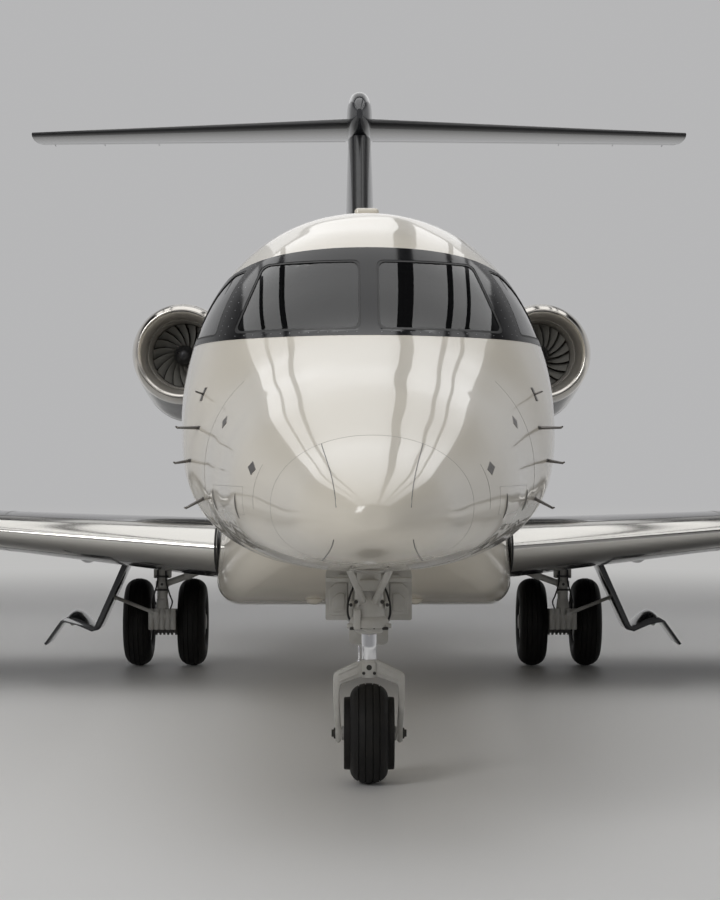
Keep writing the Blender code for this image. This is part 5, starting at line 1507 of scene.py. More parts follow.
def tyre_outline(radius, width, rim, grooves, chine=0.0, groove_half=0.0028, groove_depth=0.006):
    """A tyre's closed section as radius and distance along the axle, with grooves round its tread."""
    half = width / 2
    wall = radius - (radius - rim) * (1 - SHOULDER_PART)
    side = [(rim + 0.002, half * 0.80), (rim + 0.012, half * 0.87), (rim + 0.019, half * 0.93)]
    if chine:
        side += [(wall - 0.030, half * 0.985), (wall - 0.022, half * 1.0), (wall - 0.016, chine - 0.003),
                 (wall - 0.012, chine), (wall - 0.001, chine), (wall + 0.003, chine - 0.004),
                 (wall + 0.0045, half * 0.99)]
    else:
        side += [(rim + (wall - rim) * share, half * wide) for share, wide in ((0.5, 0.975), (0.8, 0.995))]

    def crest(x):
        return wall + (radius - wall) * max(1 - (abs(x) / half) ** TREAD_CURVE, 0.0) ** (1 / TREAD_CURVE)

    edge = [(crest(half * share), half * share) for share in (0.998, 0.985, 0.95, 0.90, 0.82, 0.74)]
    tread = []
    for spot in grooves:
        depth = crest(spot) - groove_depth
        tread += [(crest(spot + groove_half), spot + groove_half), (depth, spot + groove_half * 0.6),
                  (depth, spot - groove_half * 0.6), (crest(spot - groove_half), spot - groove_half)]
    far_half = [(r, -x) for r, x in (side + edge)[::-1]]
    return side + edge + tread + far_half + [(rim, -half * 0.78), (rim, half * 0.78)]


grooves = (0.050, 0.018, -0.018, -0.050)
outline = tyre_outline(NOSE_RADIUS - 0.0005, NOSE_WIDTH, NOSE_RIM + SEAM, grooves, CHINE)
tyre = spun(outline, (0.0, NOSE_Y, NOSE_RADIUS), (1, 0, 0), 120, closed=True)
piece(tyre, "nose_tyre_rubber", TYRE_RUBBER, "nose_wheel", ["nose_tyre"])
hub = [(0.0, 0.134), (0.030, 0.134), (0.034, 0.131), (0.036, 0.10), (0.044, 0.082), (0.060, 0.070),
       (0.082, 0.062), (0.092, 0.064), (0.100, 0.078), (0.106, 0.0815), (0.1195, 0.0805), (0.1195, 0.070)]
wheel = spun(hub + [(r, -x) for r, x in hub[::-1]], (0.0, NOSE_Y, NOSE_RADIUS), (1, 0, 0), 96)
for n in range(8):
    turn = Matrix.Rotation(math.tau * n / 8, 4, "X")
    for _, sign in SIDES:
        spot = turn @ Vector((sign * 0.0655, 0.0, 0.070))
        add(wheel, bolt(Vector((0, NOSE_Y, NOSE_RADIUS)) + spot, (sign, 0, 0), 0.0055, 0.006))
piece(wheel, "nose_wheel_hub", WHEEL_PAINT, "nose_wheel", ["nose_rim"])

# Main landing gear
# Trailing-arm legs in light grey carry twin wheels with a ribbed brake housing between them.
# A folded door panel hangs outboard of each leg on its own rod.
MAIN_X = 1.50
MAIN_STATION = 8.75
MAIN_RADIUS = 0.333
MAIN_WIDTH = 0.21
MAIN_RIM = 0.165
TWIN_HALF = 0.205
LEG_STATION = 8.38
PIVOT_HEIGHT = 0.40
BRACE_X = 1.12
LEG_Y, AXLE_Y = along(LEG_STATION), along(MAIN_STATION)
BRAKE_RIB = ((0.086, -0.0075), (0.101, -0.006), (0.101, 0.006), (0.086, 0.0075))
MAIN_DOOR = ((1.70, 0.90), (1.96, 0.319), (2.20, 0.403), (2.33, 0.212))
MAIN_DOOR_RUN = (7.98, 8.40)
MAIN_DOOR_HALF = 0.019

BRAKE_CASTING = Finish("brake_casting", "dark_metal", Base_Color=(0.22, 0.21, 0.20), Metallic=0.3)
BRAKE_CASTING.rough(45.0, 5.0, 0.3, 0.5).bump(BRAKE_CASTING.noise(300.0, 2.0), 0.0003)


def wing_under(x, station):
    """The height of the wing's lower skin above a point."""
    leading, chord, ratio, height = row_at(WING, min(max(abs(x), 1.0), WING_TIP))
    part = min(max((station - leading) / chord, 0.0), 1.0)
    return height - INCIDENCE * part * chord - thickness(part) * ratio * chord


for side, sign in SIDES:
    x = sign * MAIN_X
    knee = Vector((x, LEG_Y, PIVOT_HEIGHT))
    axle = Vector((x, AXLE_Y, MAIN_RADIUS))
    top = wing_under(MAIN_X, LEG_STATION) + 0.01
    leg = bmesh.new()
    add(leg, rod(knee, (x, LEG_Y, top), 0.0385, sides=48))
    add(leg, rod(knee + Vector((0, 0, 0.05)), knee + Vector((0, 0, 0.13)), 0.05, 0.042, sides=48))
    add(leg, rod((x, LEG_Y, 0.62), (x, LEG_Y, 0.665), 0.050, sides=48, edge=0.004))
    add(leg, crossbar(x - 0.075, x + 0.075, LEG_Y, PIVOT_HEIGHT, 0.052, sides=48, edge=0.005))
    add(leg, block((0.16, 0.16, 0.05), (x, LEG_Y, top - 0.028), 0.014, 4))
    for offset in (-0.05, 0.05):
        add(leg, block((0.026, 0.12, 0.10), (x + offset, LEG_Y + 0.03, top - 0.09), 0.008))
    arm = [(LEG_Y - 0.045, 0.42), (LEG_Y + 0.03, 0.452), (LEG_Y + 0.20, 0.43), (AXLE_Y + 0.02, 0.393),
           (AXLE_Y + 0.055, 0.345), (AXLE_Y + 0.03, 0.295), (AXLE_Y - 0.05, 0.285), (LEG_Y + 0.16, 0.335),
           (LEG_Y, 0.350), (LEG_Y - 0.045, 0.375)]
    add(leg, flat_bar(arm, 0.062, x, 0.012, axis="x"))
    add(leg, crossbar(x - 0.045, x + 0.045, LEG_Y + 0.22, 0.415, 0.026, sides=32))
    damper_foot, damper_top = Vector((x, LEG_Y + 0.22, 0.43)), Vector((x, LEG_Y + 0.055, top - 0.08))
    add(leg, rod(damper_foot.lerp(damper_top, 0.42), damper_top, 0.031, sides=40, edge=0.004))
    add(leg, crossbar(x - 0.04, x + 0.04, damper_top.y, damper_top.z, 0.022))
    brace_foot = Vector((x, LEG_Y, 0.635))
    brace_top = Vector((sign * BRACE_X, LEG_Y, wing_under(BRACE_X, LEG_STATION)))
    add(leg, rod(brace_foot, brace_top, 0.0245))
    run = brace_top - brace_foot
    lock = Matrix.Translation(brace_foot + run * 0.52) @ Matrix.Rotation(math.atan2(-run.z, run.x), 4, "Y")
    add(leg, block((0.075, 0.05, 0.055), lock, 0.010))
    for offset in spread(-0.082, 0.082, 5):
        foot = Vector((x + offset, LEG_Y - 0.036, 0.302))
        add(leg, rod(foot, foot + Vector((0, 0, 0.158)), 0.0205, sides=28, edge=0.005))
    add(leg, block((0.19, 0.024, 0.145), (x, LEG_Y - 0.028, 0.381), 0.006))
    piece(leg, f"main_leg_forging_{side}", GEAR_PAINT, stands_for=[f"main_gear_leg_{side}"])
    ram = rod(damper_foot, damper_foot.lerp(damper_top, 0.5), 0.0195, sides=40)
    piece(ram, f"main_damper_ram_{side}", CHROME)

    casting = [(0.0, -0.09), (0.078, -0.09), (0.086, -0.086)]
    for spot in spread(-0.075, 0.075, 6):
        casting += [(r, spot + rise) for r, rise in BRAKE_RIB]
    casting += [(0.086, 0.086), (0.078, 0.09), (0.0, 0.09)]
    brake = spun(casting, axle, (1, 0, 0), 72)
    for offset in (-0.055, 0.0, 0.055):
        for start, end in (((-0.07, 0.055), (-0.128, 0.045)), ((-0.07, -0.03), (-0.122, -0.03))):
            add(brake, rod(axle + Vector((offset, *start)), axle + Vector((offset, *end)), 0.020, sides=32))
    add(brake, block((0.15, 0.05, 0.035), axle + Vector((0.0, -0.088, 0.012)), 0.009))
    piece(brake, f"brake_housing_{side}", BRAKE_CASTING)
    lines = bmesh.new()
    for offset, bow in ((0.030, 0.02), (-0.030, -0.02)):
        points = [(x + offset, AXLE_Y - 0.115, 0.385), (x + offset * 1.4, AXLE_Y - 0.15, 0.44),
                  (x + offset * 1.5 + bow, LEG_Y + 0.12, 0.50), (x + offset * 1.3 + bow, LEG_Y - 0.035, 0.56),
                  (x + offset * 1.1, LEG_Y - 0.05, 0.66), (x + offset, LEG_Y - 0.05, top - 0.04)]
        pipe(lines, smoothed(points, 8), 0.0058)
    piece(lines, f"brake_hoses_{side}", HOSE_BLACK)
    clips = bmesh.new()
    for height in (0.60, 0.70):
        add(clips, block((0.10, 0.018, 0.014), (x, LEG_Y - 0.045, height), 0.003))
    for offset in (-0.076, 0.076):
        add(clips, bolt((x + offset, LEG_Y, PIVOT_HEIGHT), (math.copysign(1, offset), 0, 0), 0.018, 0.010))
    add(clips, bolt((x, LEG_Y - 0.05, 0.642), (0, -1, 0), 0.008))
    piece(clips, f"main_leg_fasteners_{side}", STEEL_DARK)

    near, far = TWIN_HALF - 0.0855, TWIN_HALF + 0.0855
    outer = [(0.0, far + 0.017), (0.050, far + 0.017), (0.058, far + 0.010), (0.062, far - 0.030),
             (0.080, far - 0.044), (0.118, far - 0.040), (0.132, far - 0.020), (0.142, far - 0.006),
             (0.158, far - 0.001), (0.1645, far - 0.003), (0.1645, near + 0.003), (0.158, near + 0.001),
             (0.150, near + 0.004), (0.144, near + 0.020), (0.112, near + 0.022), (0.106, near + 0.004),
             (0.046, near + 0.001)]
    hub = spun(outer + [(r, -h) for r, h in outer[::-1]], axle, (1, 0, 0), 96)
    for n in range(10):
        turn = Matrix.Rotation(math.tau * n / 10, 4, "X")
        for face in (-1, 1):
            spot = turn @ Vector((face * (far - 0.041), 0.0, 0.098))
            add(hub, bolt(axle + spot, (face, 0, 0), 0.0065, 0.007))
    piece(hub, f"main_wheel_hubs_{side}", WHEEL_PAINT, f"main_wheels_{side}", [f"main_rims_{side}"])
    grooves = (0.054, 0.018, -0.018, -0.054)
    outline = tyre_outline(MAIN_RADIUS - 0.0005, MAIN_WIDTH, MAIN_RIM + SEAM, grooves,
                           groove_half=0.0032, groove_depth=0.008)
    for spot, offset in (("inner", -TWIN_HALF), ("outer", TWIN_HALF)):
        tyre = spun(outline, axle + Vector((sign * offset, 0, 0)), (1, 0, 0), 120, closed=True)
        piece(tyre, f"main_tyre_{spot}_rubber_{side}", TYRE_RUBBER, f"main_wheels_{side}",
              [f"main_tyre_{spot}_{side}"])

    (ax, az), (bx, bz), (cx, cz), (dx, dz) = MAIN_DOOR
    az = min(az, wing_under(1.72, 8.2) + 0.004)
    start_x = ax + (MAIN_DOOR[0][1] - az) * (bx - ax) / (MAIN_DOOR[0][1] - bz)
    line = [Vector(spot) for spot in (
        (start_x, az), (bx - 0.028, bz + 0.058), (bx - 0.010, bz + 0.022), (bx + 0.020, bz + 0.014),
        (cx - 0.11, cz - 0.022), (cx - 0.03, cz - 0.004), (cx + 0.006, cz - 0.016), (dx - 0.004, dz + 0.008))]
    inboard, outboard = [], []
    for i, (before, here, after) in enumerate(zip([line[0], *line], line, [*line[1:], line[-1]])):
        run = (after - before).normalized()
        aside = Vector((run.y, -run.x)) * MAIN_DOOR_HALF * (1.0 if i < len(line) - 2 else 0.45)
        inboard.append(here + aside)
        outboard.append(here - aside)
    start, end = along(MAIN_DOOR_RUN[0]), along(MAIN_DOOR_RUN[1])
    panel = plate([(sign * px, start, pz) for px, pz in inboard + outboard[::-1]], (0.0, end - start, 0.0))
    rims = [e for e in panel.edges if abs((e.verts[0].co - e.verts[1].co).y) < 1e-6]
    soften(panel, rims, 0.003, 2, clamp_overlap=True)
    hump = []
    for y in spread(start + 0.02, end - 0.02, 10):
        lift = 0.085 * max(math.sin(math.pi * (y - start) / (end - start)), 0.0) ** 0.5
        ring = []
        for t in spread(0.0, 1.0, 14):
            rise = lift * max(math.sin(math.pi * t), 0.0) ** 0.7 * (0.7 + 0.5 * t)
            ring.append(Vector((sign * (bx + 0.015 + (cx - bx - 0.035) * t), y,
                                bz + 0.020 + (cz - bz - 0.02) * t + rise)))
        hump.append(ring + [Vector((p.x, p.y, p.z - 0.012)) for p in (ring[-1], ring[0])])
    add(panel, loft(hump))
    piece(panel, f"main_door_panel_{side}", GRAPHITE, stands_for=[f"main_gear_door_{side}"])
    links = bmesh.new()
    joint = Vector((sign * 1.853, LEG_Y - 0.03, 0.545))
    lug_x = sign * (MAIN_X + 0.04)
    add(links, rod((lug_x, LEG_Y - 0.068, 0.425), joint, 0.0135))
    add(links, rod((lug_x, LEG_Y - 0.085, 0.425), (lug_x, LEG_Y - 0.04, 0.425), 0.019))
    add(links, block((0.035, 0.05, 0.045), joint, 0.008))
    add(links, rod((sign * 2.13, along(8.02), 0.375), (sign * 2.13, along(8.36), 0.375), 0.019))
    add(links, block((0.05, 0.34, 0.03), (sign * (start_x + 0.012), along(8.19), az - 0.03), 0.008))
    piece(links, f"main_door_links_{side}", GEAR_PAINT)

# Cabin floor and flight deck
# Cut-pile carpet over honeycomb floor panels, and a leather-grained coaming above dark glass displays.
# A pedestal with the thrust levers stands between the pilots, each of whom has a control wheel.
CARPET = Finish("carpet", "floor_panel", Roughness=0.95)
CARPET.toned(CARPET.noise(220.0, 3.0, centre=0.0), (0.085, 0.070, 0.055), (0.24, 0.205, 0.165))
CARPET.bump(CARPET.noise(600.0, 2.0) + CARPET.cells(350.0) * 0.6, 0.0015)
coat(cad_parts["cabin_floor"], CARPET)

COAMING = Finish("coaming", "cockpit_panel", Base_Color=(0.022, 0.022, 0.023))
COAMING.rough(70.0, 3.0, 0.2, 0.7).bump(COAMING.cells(650.0), 0.0006)
PANEL_GREY = Finish("panel_grey", "cockpit_panel", Base_Color=(0.075, 0.078, 0.082))
PANEL_GREY.rough(200.0, 2.0, 0.15, 0.55)
SCREEN = Finish("display_glass", "cockpit_panel", Base_Color=(0.006, 0.008, 0.012), Coat_Weight=1.0)
SCREEN.rough(4.0, 2.0, 0.08, 0.08, centre=0.3)

FLOOR_TOP = 1.25
CONTROL_HORN = ((0.03, 0, 0), (0.12, 0, 0), (0.155, 0, 0.05), (0.15, 0.01, 0.12))
face_y = along(2.62)
dash = bmesh.new()
dash_width = 2 * min(skin_at(2.56, 2.09, 1).x - 0.05, 0.71)
add(dash, block((dash_width, 0.09, 0.36), (0.0, face_y, 1.915), 0.02))
add(dash, block((0.20, 0.46, 0.46), (0.0, along(2.89), 1.485), 0.02))
slope = Matrix.Rotation(0.5, 4, "X")
add(dash, block((0.19, 0.20, 0.03), Matrix.Translation((0, along(2.77), 1.745)) @ slope, 0.008))
piece(dash, "instrument_face", PANEL_GREY, stands_for=["instrument_panel"])
rings = []
for run, drop in ((2.36, 0.008), (2.42, 0.0), (2.55, -0.004), (2.64, 0.0), (2.69, 0.012)):
    wide = min(skin_at(run, 2.11, 1).x - 0.06, 0.80)
    line = [Vector((x, along(run), 2.118 - drop - 0.06 * (x / wide) ** 2)) for x in spread(-wide, wide, 25)]
    rings.append(line + [p - Vector((0, 0, 0.028)) for p in line[::-1]])
piece(loft(rings), "panel_coaming", COAMING)
screens = bmesh.new()
for x in (-0.45, 0.0, 0.45):
    add(screens, block((0.33, 0.012, 0.23), (x, face_y + 0.047, 1.94), 0.006))
add(screens, block((0.15, 0.16, 0.010), Matrix.Translation((0, along(2.77), 1.762)) @ slope, 0.004))
piece(screens, "flight_displays", SCREEN)
levers = bmesh.new()
for x in (-0.03, 0.03):
    add(levers, block((0.012, 0.014, 0.09), (x, along(2.96), 1.75), 0.004))
    add(levers, crossbar(x - 0.02, x + 0.02, along(2.96), 1.80, 0.013))
for _, sign in SIDES:
    column = Vector((sign * 0.38, along(2.80), 1.78))
    add(levers, rod(column + Vector((0, -0.14, -0.03)), column, 0.016))
    add(levers, block((0.10, 0.035, 0.05), column, 0.012))
    for reach in (-1, 1):
        horn = [column + Vector((reach * u, v, w)) for u, v, w in CONTROL_HORN]
        pipe(levers, smoothed(horn, 6), 0.013)
for x in spread(-0.16, 0.16, 8):
    add(levers, rod((x, face_y + 0.045, 1.80), (x, face_y + 0.062, 1.80), 0.009))
piece(levers, "flight_controls", COAMING)

# Seats
# Leather cushions over foam on low metal frames, two for the pilots and six for the cabin, on floor tracks.
# Each cushion is crowned, pulled in at its seams and piped round its edge.
SEAT_WIDTH = 0.52
SEAT_DEPTH = 0.50
BACK_DEPTH = 0.12
BOXY = 7.0
SEATS = [("pilot", sign * 0.38, 3.45) for _, sign in SIDES]
SEATS += [("cabin", sign * 0.40, s) for s in (6.0, 7.2, 8.2) for _, sign in SIDES]

LEATHER = Finish("seat_leather_grain", "seat_leather").rough(25.0, 4.0, 0.2, 0.46)
LEATHER.toned(LEATHER.noise(6.0, 4.0, centre=0.1), (0.50, 0.41, 0.30), (0.40, 0.32, 0.23))
LEATHER.bump(LEATHER.cells(420.0) * 0.6 + LEATHER.noise(60.0, 3.0), 0.0008)
PIPING = Finish("seat_piping", "seat_leather", Base_Color=(0.20, 0.15, 0.10)).rough(200.0, 2.0, 0.2, 0.5)
SEAT_FRAME = Finish("seat_frame", "seat_leather", Base_Color=(0.10, 0.095, 0.09), Metallic=0.7)
SEAT_FRAME.rough(50.0, 3.0, 0.2, 0.35)


def cushion(size, where, channels, crown):
    """A padded block: crowned between its seams, pulled in along its sides, with sewn channels across it."""
    shape = bmesh.new()
    bmesh.ops.create_cube(shape, size=2.0)
    bmesh.ops.subdivide_edges(shape, edges=shape.edges[:], cuts=22, use_grid_fill=True)
    half = Vector(size) / 2
    for vert in shape.verts:
        u, v, w = vert.co
        u, v, w = vert.co / (abs(u) ** BOXY + abs(v) ** BOXY + abs(w) ** BOXY) ** (1 / BOXY)
        pinch = 1.0 - 0.035 * (1 - abs(w)) * (abs(u) ** 6 + abs(v) ** 6)
        puff = crown * max(1 - u**4, 0.0) * max(1 - v**4, 0.0) * max(min(w * 1.4, 1.0), -1.0)
        puff *= 0.45 + 0.55 * abs(math.sin(math.pi * channels * (v + 1) / 2)) ** 0.35
        vert.co = (u * half.x * pinch, v * half.y * pinch, w * (half.z - crown) + puff)
    shape.transform(where)
    return shape


def seam_line(size, where, level):
    """The piping round a cushion at one level."""
    loop = []
    for angle in turns(72):
        c, s = math.cos(angle), math.sin(angle)
        reach = (abs(c) ** BOXY + abs(s) ** BOXY) ** (-1 / BOXY)
        loop.append(where @ Vector((c * reach * size[0] * 0.487, s * reach * size[1] * 0.487, level)))
    return loop


frames, bands = bmesh.new(), bmesh.new()
BASE = FLOOR_TOP + SEAM
CUSHIONS = (
    # name, size, height, channels across it, crown, firmness, height of its seam
    ("seat_cushion", (SEAT_WIDTH * 0.94, SEAT_DEPTH * 0.97, 0.145), 0.187, 3, 0.018, 0.85, 0.045),
    ("seat_back", (SEAT_WIDTH * 0.88, 0.46, 0.115), 0.435, 4, 0.018, 0.85, 0.036),
    ("headrest", (0.27, 0.145, 0.10), 0.745, 1, 0.012, 0.9, None),
)
for kind, x, station in SEATS:
    tag = f"{kind}_{'left' if x > 0 else 'right'}_{round(station * 10)}"
    y = along(station)
    flat = Matrix.Translation((x, y - 0.01, BASE))
    upright = Matrix.Translation((x, y + SEAT_DEPTH / 2 - BACK_DEPTH / 2 + 0.01, BASE))
    for name, size, height, channels, crown, firm, level in CUSHIONS:
        where = (flat if name == "seat_cushion" else upright) @ Matrix.Translation((0, 0, height))
        if name != "seat_cushion":
            where = where @ Matrix.Rotation(math.radians(-90), 4, "X")
        piece(cushion(size, where, channels, crown), f"{name}_{tag}", LEATHER)
        if level:
            pipe(bands, seam_line(size, where, level), 0.0045, closed=True)
    arm_x = SEAT_WIDTH / 2 - 0.028
    add_blocks(frames, (
        ((0.10, 0.40, 0.05), (x, y, BASE + 0.025), 0.01),
        ((SEAT_WIDTH * 0.8, SEAT_DEPTH * 0.86, 0.06), (x, y, BASE + 0.08), 0.012),
        ((0.035, 0.30, 0.03), (x - arm_x, y - 0.02, BASE + 0.30), 0.012),
        ((0.022, 0.05, 0.20), (x - arm_x, y + 0.10, BASE + 0.19), 0.008),
        ((0.035, 0.30, 0.03), (x + arm_x, y - 0.02, BASE + 0.30), 0.012),
        ((0.022, 0.05, 0.20), (x + arm_x, y + 0.10, BASE + 0.19), 0.008),
    ))
for first, last in ((3.30, 3.60), (5.80, 8.45)):
    for x in (-0.40, 0.40):
        rail = (x, along((first + last) / 2), FLOOR_TOP + 0.0085)
        add(frames, block((0.035, last - first, 0.016), rail, 0.003))
piece(frames, "seat_frames", SEAT_FRAME, stands_for=["cabin_seats", "pilot_seats"])
piece(bands, "seat_piping", PIPING)

# Lamps, aerials and small fittings
# Clear and coloured lamp covers, blade aerials, filler caps, latches, panel lines and discharge wicks.
# Each is screwed or bonded to the skin through a thin base.
LAMP_GLASS = Finish("lamp_glass", "glass", Base_Color=(0.62, 0.63, 0.64), Coat_Weight=1.0, Metallic=0.3)
LAMP_GLASS.rough(30.0, 2.0, 0.05, 0.06)
RED_LENS = Finish("red_lens", "glass", Base_Color=(0.45, 0.012, 0.010), Roughness=0.08, Coat_Weight=1.0)
GREEN_LENS = Finish("green_lens", "glass", Base_Color=(0.010, 0.30, 0.09), Roughness=0.08, Coat_Weight=1.0)


def dome(centre, size, turn=None):
    """A lamp cover or blister: a ball squashed to a size."""
    shape = bmesh.new()
    bmesh.ops.create_uvsphere(shape, u_segments=32, v_segments=20, radius=1.0)
    shape.transform(Matrix.Diagonal((*[s / 2 for s in size], 1.0)))
    shape.transform(Matrix.Translation(centre) @ (turn or Matrix()))
    return shape


def blade_aerial(foot, height, chord, rake, width=0.018):
    """A raked blade that stands out from the skin, up for a positive height."""
    rings = []
    for share in spread(0.0, 1.0, 9):
        long = chord * (1 - 0.45 * share**2)
        middle = foot + Vector((0.0, rake * share, height * share - math.copysign(0.012, height)))
        thick = width * (1 - 0.4 * share)
        rings.append([middle + Vector((thick / 2 * math.sin(a), -long / 2 * math.cos(a), 0.0))
                      for a in turns(24)])
    return loft(rings)


BLADE_AERIALS = (
    # station, height, chord, rake
    (6.55, 0.19, 0.24, 0.10),
    (8.75, 0.17, 0.20, 0.10),
    (4.2, -0.15, 0.18, 0.08),
    (4.9, -0.15, 0.18, 0.08),
)
aerials, lamps = bmesh.new(), bmesh.new()
for station, height, chord, rake in BLADE_AERIALS:
    add(aerials, blade_aerial(crown_at(station, 0.0, below=height < 0), height, chord, rake))
add(aerials, block((0.136, 0.20, 0.066), crown_at(4.05, 0.0), 0.022, 5))
add(aerials, block((0.22, 0.30, 0.028), crown_at(7.2, 0.0), 0.012, 4))
for _, sign in SIDES:
    add(aerials, dome((sign * 0.33, along(6.32), 0.655), (0.12, 0.20, 0.075)))
    add(aerials, blade_aerial(Vector((sign * ENGINE_X, along(11.6), ENGINE_Z - 0.545)), -0.075, 0.09, 0.04))
piece(aerials, "aerials_and_blisters", CREAM)

lens = crown_at(1.15, 0.0, below=True)
slope = crown_at(1.30, 0.0, below=True) - crown_at(1.0, 0.0, below=True)
tilt = Matrix.Rotation(math.atan2(slope.z, slope.y), 4, "X")
rim = [lens + tilt @ Vector((0.105 * math.cos(a), 0.16 * math.sin(a), 0.018 * math.cos(a) ** 2 - 0.004))
       for a in turns(48)]
nose_rim = bmesh.new()
pipe(nose_rim, rim, 0.006, closed=True)
add(lamps, dome(lens + Vector((0, 0, 0.010)), (0.20, 0.30, 0.034), tilt))
beacons = bmesh.new()
for spot, size in ((crown_at(8.1, 0.0), 0.10), (Vector((0.0, along(7.7), 0.60)), 0.09)):
    add(beacons, dome(spot, (size, size * 1.5, size * 1.1)))
    add(nose_rim, dome(spot, (size * 1.3, size * 1.8, 0.022)))
piece(beacons, "red_beacons", RED_LENS)
tail_end = Vector((0.0, along(16.815), 5.09))
add(lamps, dome(tail_end, (0.035, 0.05, 0.035)))

COWL_DOOR = (10.75, 11.95)
CAP_SHAPE = ((0.0, 0.0025), (0.048, 0.0025), (0.052, 0.0), (0.052, -0.01), (0.0, -0.01))
WING_PANELS = (
    # span from and to, part of the chord from and to
    (1.5, 3.1, 0.585, 0.695),
    (3.13, 4.7, 0.585, 0.695),
    (1.1, 7.8, 0.095, 0.699),
)
caps, lines, screws = bmesh.new(), bmesh.new(), bmesh.new()


def on_wing(span, part, sign, face=1, lift=0.0, table=WING, tilt=INCIDENCE):
    """A point on a wing or the tailplane, on either side of the aircraft."""
    point = foil_point(table, span, part, face, tilt=tilt, grow=lift)
    return Vector((sign * point.x, point.y, point.z))


for side, sign in SIDES:
    lit = on_wing(7.86, 0.0, sign)
    cover = dome(lit + Vector((0.0, 0.045, 0.0)), (0.11, 0.11, 0.075))
    piece(cover, f"wing_tip_lamp_{side}", RED_LENS if side == "left" else GREEN_LENS)
    for span in (6.1, 3.6):
        spot, ahead = on_wing(span, 0.34, sign), on_wing(span, 0.36, sign)
        lean = Matrix.Rotation(math.atan2((ahead - spot).z, (ahead - spot).y), 4, "X")
        add(caps, spun(CAP_SHAPE, (0, 0, 0), (0, 0, 1), 40), Matrix.Translation(spot) @ lean)
        bar = Matrix.Translation(spot + Vector((0, 0, 0.004))) @ lean
        add(caps, block((0.012, 0.07, 0.006), bar, 0.002))
    for face in (1, -1):
        for low, high, fore, aft in WING_PANELS if face > 0 else WING_PANELS[-1:]:
            loop = [on_wing(s, fore, sign, face) for s in spread(low, high, 30)]
            loop += [on_wing(high, p, sign, face) for p in spread(fore, aft, 12)[1:]]
            loop += [on_wing(s, aft, sign, face) for s in spread(high, low, 30)[1:]]
            loop += [on_wing(low, p, sign, face) for p in spread(aft, fore, 12)[1:-1]]
            pipe(lines, loop, 0.0016, closed=True, resolution=1)
        for span in (2.5, 4.0, 5.345, 6.6):
            pipe(lines, [on_wing(span, p, sign, face) for p in spread(0.1, 0.695, 24)], 0.0014, resolution=1)
        spots = [on_wing(s, 0.105, sign, face) for s in spread(1.1, 7.8, 84)]
        spots += [on_wing(s, p, sign, face) for s in (2.515, 4.015, 5.36) for p in spread(0.12, 0.68, 26)]
        for spot in spots:
            bmesh.ops.create_cone(screws, cap_ends=True, segments=6, radius1=0.0034, radius2=0.0028,
                                  depth=0.0012, matrix=Matrix.Translation(spot))
    for control, spans, part, run, how in (
        ("aileron", (5.8, 6.5, 7.2, 7.75), 0.995, Vector((0.0, 0.11, -0.006)), {}),
        ("elevator", (2.2, 2.8, 3.35), 0.99, Vector((0.0, 0.10, -0.004)), {"table": TAILPLANE, "tilt": 0.0}),
    ):
        feet = [on_wing(span, part, sign, **how) for span in spans]
        wicks = gathered([rod(foot, foot + run, 0.0028, sides=8, edge=0) for foot in feet])
        piece(wicks, f"{control}_wicks_{side}", HOSE_BLACK, f"{control}_{side}")
    for station in COWL_DOOR:
        pipe(lines, cowl_ring(station, sign * ENGINE_X), 0.0018, closed=True, resolution=1)
    for width in (-0.03, 0.03):
        keel = []
        for station in spread(*COWL_DOOR, 20):
            half_width, _, bottom = cowl_row(station)
            low = -bottom * math.sqrt(1 - (width / half_width) ** 2)
            keel.append(Vector((sign * ENGINE_X + width, along(station), ENGINE_Z + low)))
        pipe(lines, keel, 0.0018, resolution=1)
    for station in spread(10.85, 11.85, 6):
        latch = (sign * ENGINE_X, along(station), ENGINE_Z - cowl_row(station)[2] - 0.001)
        add(caps, block((0.028, 0.075, 0.006), latch, 0.0025))
piece(caps, "filler_caps_and_latches", PROBE_STEEL)
piece(lines, "panel_lines", STRIP_METAL)
piece(screws, "wing_screws", SCREW)
piece(lamps, "clear_lamp_covers", LAMP_GLASS)
piece(nose_rim, "lamp_bases", SEALANT)

# Studio
# A pale floor that fades into a pale surround, under a row of large softboxes with gaps between them.
# The camera stands where the photograph was taken from, at the height of a person's chest.
EYE_PLACE = (-0.088, -17.175, 1.566)
EYE_TILT = 90.266
EYE_TURN = -0.228
LENS = 91.4
BACKDROP = (0.47, 0.47, 0.475)
FORWARD_ROOM = (0.25, 0.25, 0.255)
ZENITH = (0.010, 0.010, 0.011)
ROOM_TURN = (-0.7, 0.7)
ZENITH_TURN = (0.26, 0.62)
FLOOR_RADIUS = 260.0
FLOOR_FADE = (7.0, 17.0)
GLOW_FADE = (16.0, 70.0)
FLOOR_TONE = (0.78, 0.775, 0.765)
FLOOR_GLOW = (0.52, 0.517, 0.51)

camera = bpy.data.cameras.new("camera")
camera.lens = LENS
camera.sensor_width = 36.0
camera.clip_end = 600.0
eye = bpy.data.objects.new("camera", camera)
eye.location = EYE_PLACE
eye.rotation_euler = (math.radians(EYE_TILT), 0.0, math.radians(EYE_TURN))
bpy.context.scene.collection.objects.link(eye)
bpy.context.scene.camera = eye

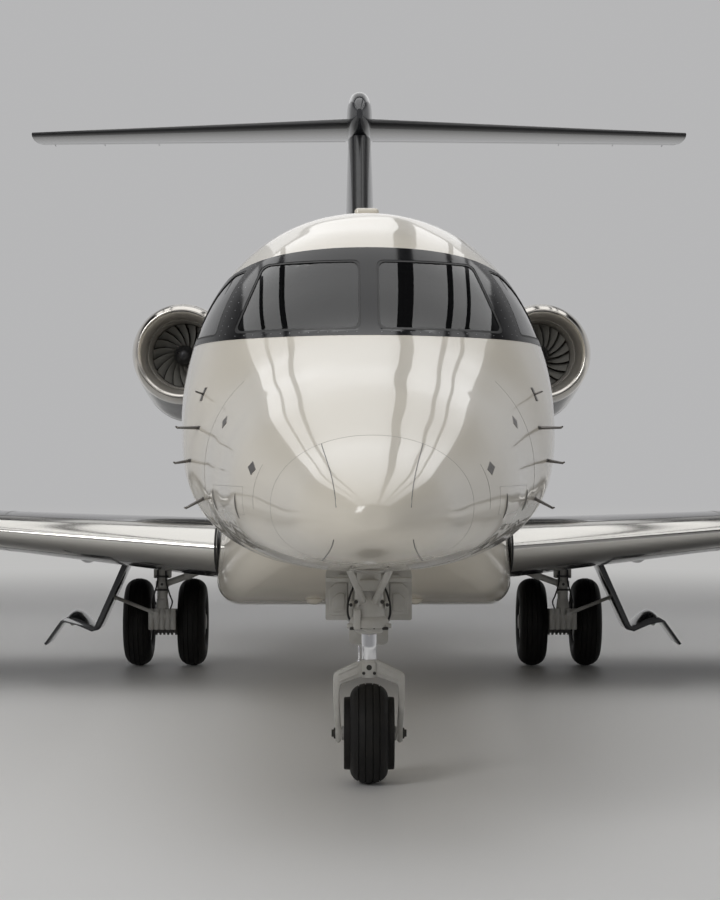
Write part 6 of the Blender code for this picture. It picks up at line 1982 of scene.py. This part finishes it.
floor_shape = bmesh.new()
bmesh.ops.create_circle(floor_shape, cap_ends=True, segments=96, radius=FLOOR_RADIUS)
floor = thing(floor_shape, "studio_floor")
FLOOR = Finish("studio_floor", "rubber", Base_Color=FLOOR_TONE, Roughness=0.5)
reach = FLOOR.node("ShaderNodeVectorMath", {"operation": "LENGTH"}, {0: FLOOR.place}, output="Value")
far = FLOOR.ramp(reach, *FLOOR_FADE, smooth=True)
depth = FLOOR.ramp(reach, *GLOW_FADE, smooth=True)
behind = FLOOR.ramp(FLOOR.axis("Y") * (reach + 0.01) ** -1.0, *ROOM_TURN)
room_tone = FLOOR.colours(behind, FORWARD_ROOM, BACKDROP)
glow = FLOOR.node("ShaderNodeEmission", None, {"Color": FLOOR.colours(depth, FLOOR_GLOW, room_tone)})
blend = FLOOR.node("ShaderNodeMixShader", None, {0: far, 1: Value(FLOOR, FLOOR.shader.outputs[0]), 2: glow})
FLOOR.feed(FLOOR.tree.nodes["Material Output"], {"Surface": blend})
coat(floor, FLOOR)

world = bpy.data.worlds.new("studio")
bpy.context.scene.world = world
world.use_nodes = True
sky = Nodes(world.node_tree, "Generated")
room = sky.colours(sky.ramp(sky.axis("Y"), *ROOM_TURN), FORWARD_ROOM, BACKDROP)
dome_tone = sky.colours(sky.ramp(sky.axis("Z"), *ZENITH_TURN, smooth=True), room, ZENITH)
sky.feed(sky.tree.nodes["Background"], {"Color": dome_tone})

PANEL_HEIGHT = 9.0
PANELS = (
    # low x, high x, low y, high y, radiance
    (-6.0, -4.75, -13.0, 9.0, 1.15),
    (-4.5, -3.55, -13.0, 9.0, 1.15),
    (-3.25, 1.05, -13.0, 9.0, 1.15),
    (1.65, 3.15, -13.0, 9.0, 1.15),
    (3.45, 4.20, -13.0, 9.0, 1.15),
    (4.45, 6.0, -13.0, 9.0, 1.15),
    (-4.0, 4.0, 10.0, 24.0, 0.5),
)
KEY_PLACE = Vector((-6.5, -15.5, 7.5))
KEY_TARGET = Vector((0.0, -5.0, 1.6))


def softbox(name, place, width, depth, energy):
    """A rectangular lamp that faces down."""
    light = bpy.data.lights.new(name, "AREA")
    light.shape = "RECTANGLE"
    light.size = width
    light.size_y = depth
    light.energy = energy
    lamp = bpy.data.objects.new(name, light)
    lamp.location = place
    bpy.context.scene.collection.objects.link(lamp)
    return lamp


for n, (west, east, front, back, radiance) in enumerate(PANELS):
    width, depth = east - west, back - front
    centre = ((west + east) / 2, (front + back) / 2, PANEL_HEIGHT)
    softbox(f"softbox_{n}", centre, width, depth, radiance * math.pi * width * depth)
key = softbox("key", KEY_PLACE, 4.0, 5.0, 380.0)
key.rotation_euler = (KEY_TARGET - KEY_PLACE).to_track_quat("-Z", "Y").to_euler()

bpy.context.scene.view_settings.view_transform = "Standard"
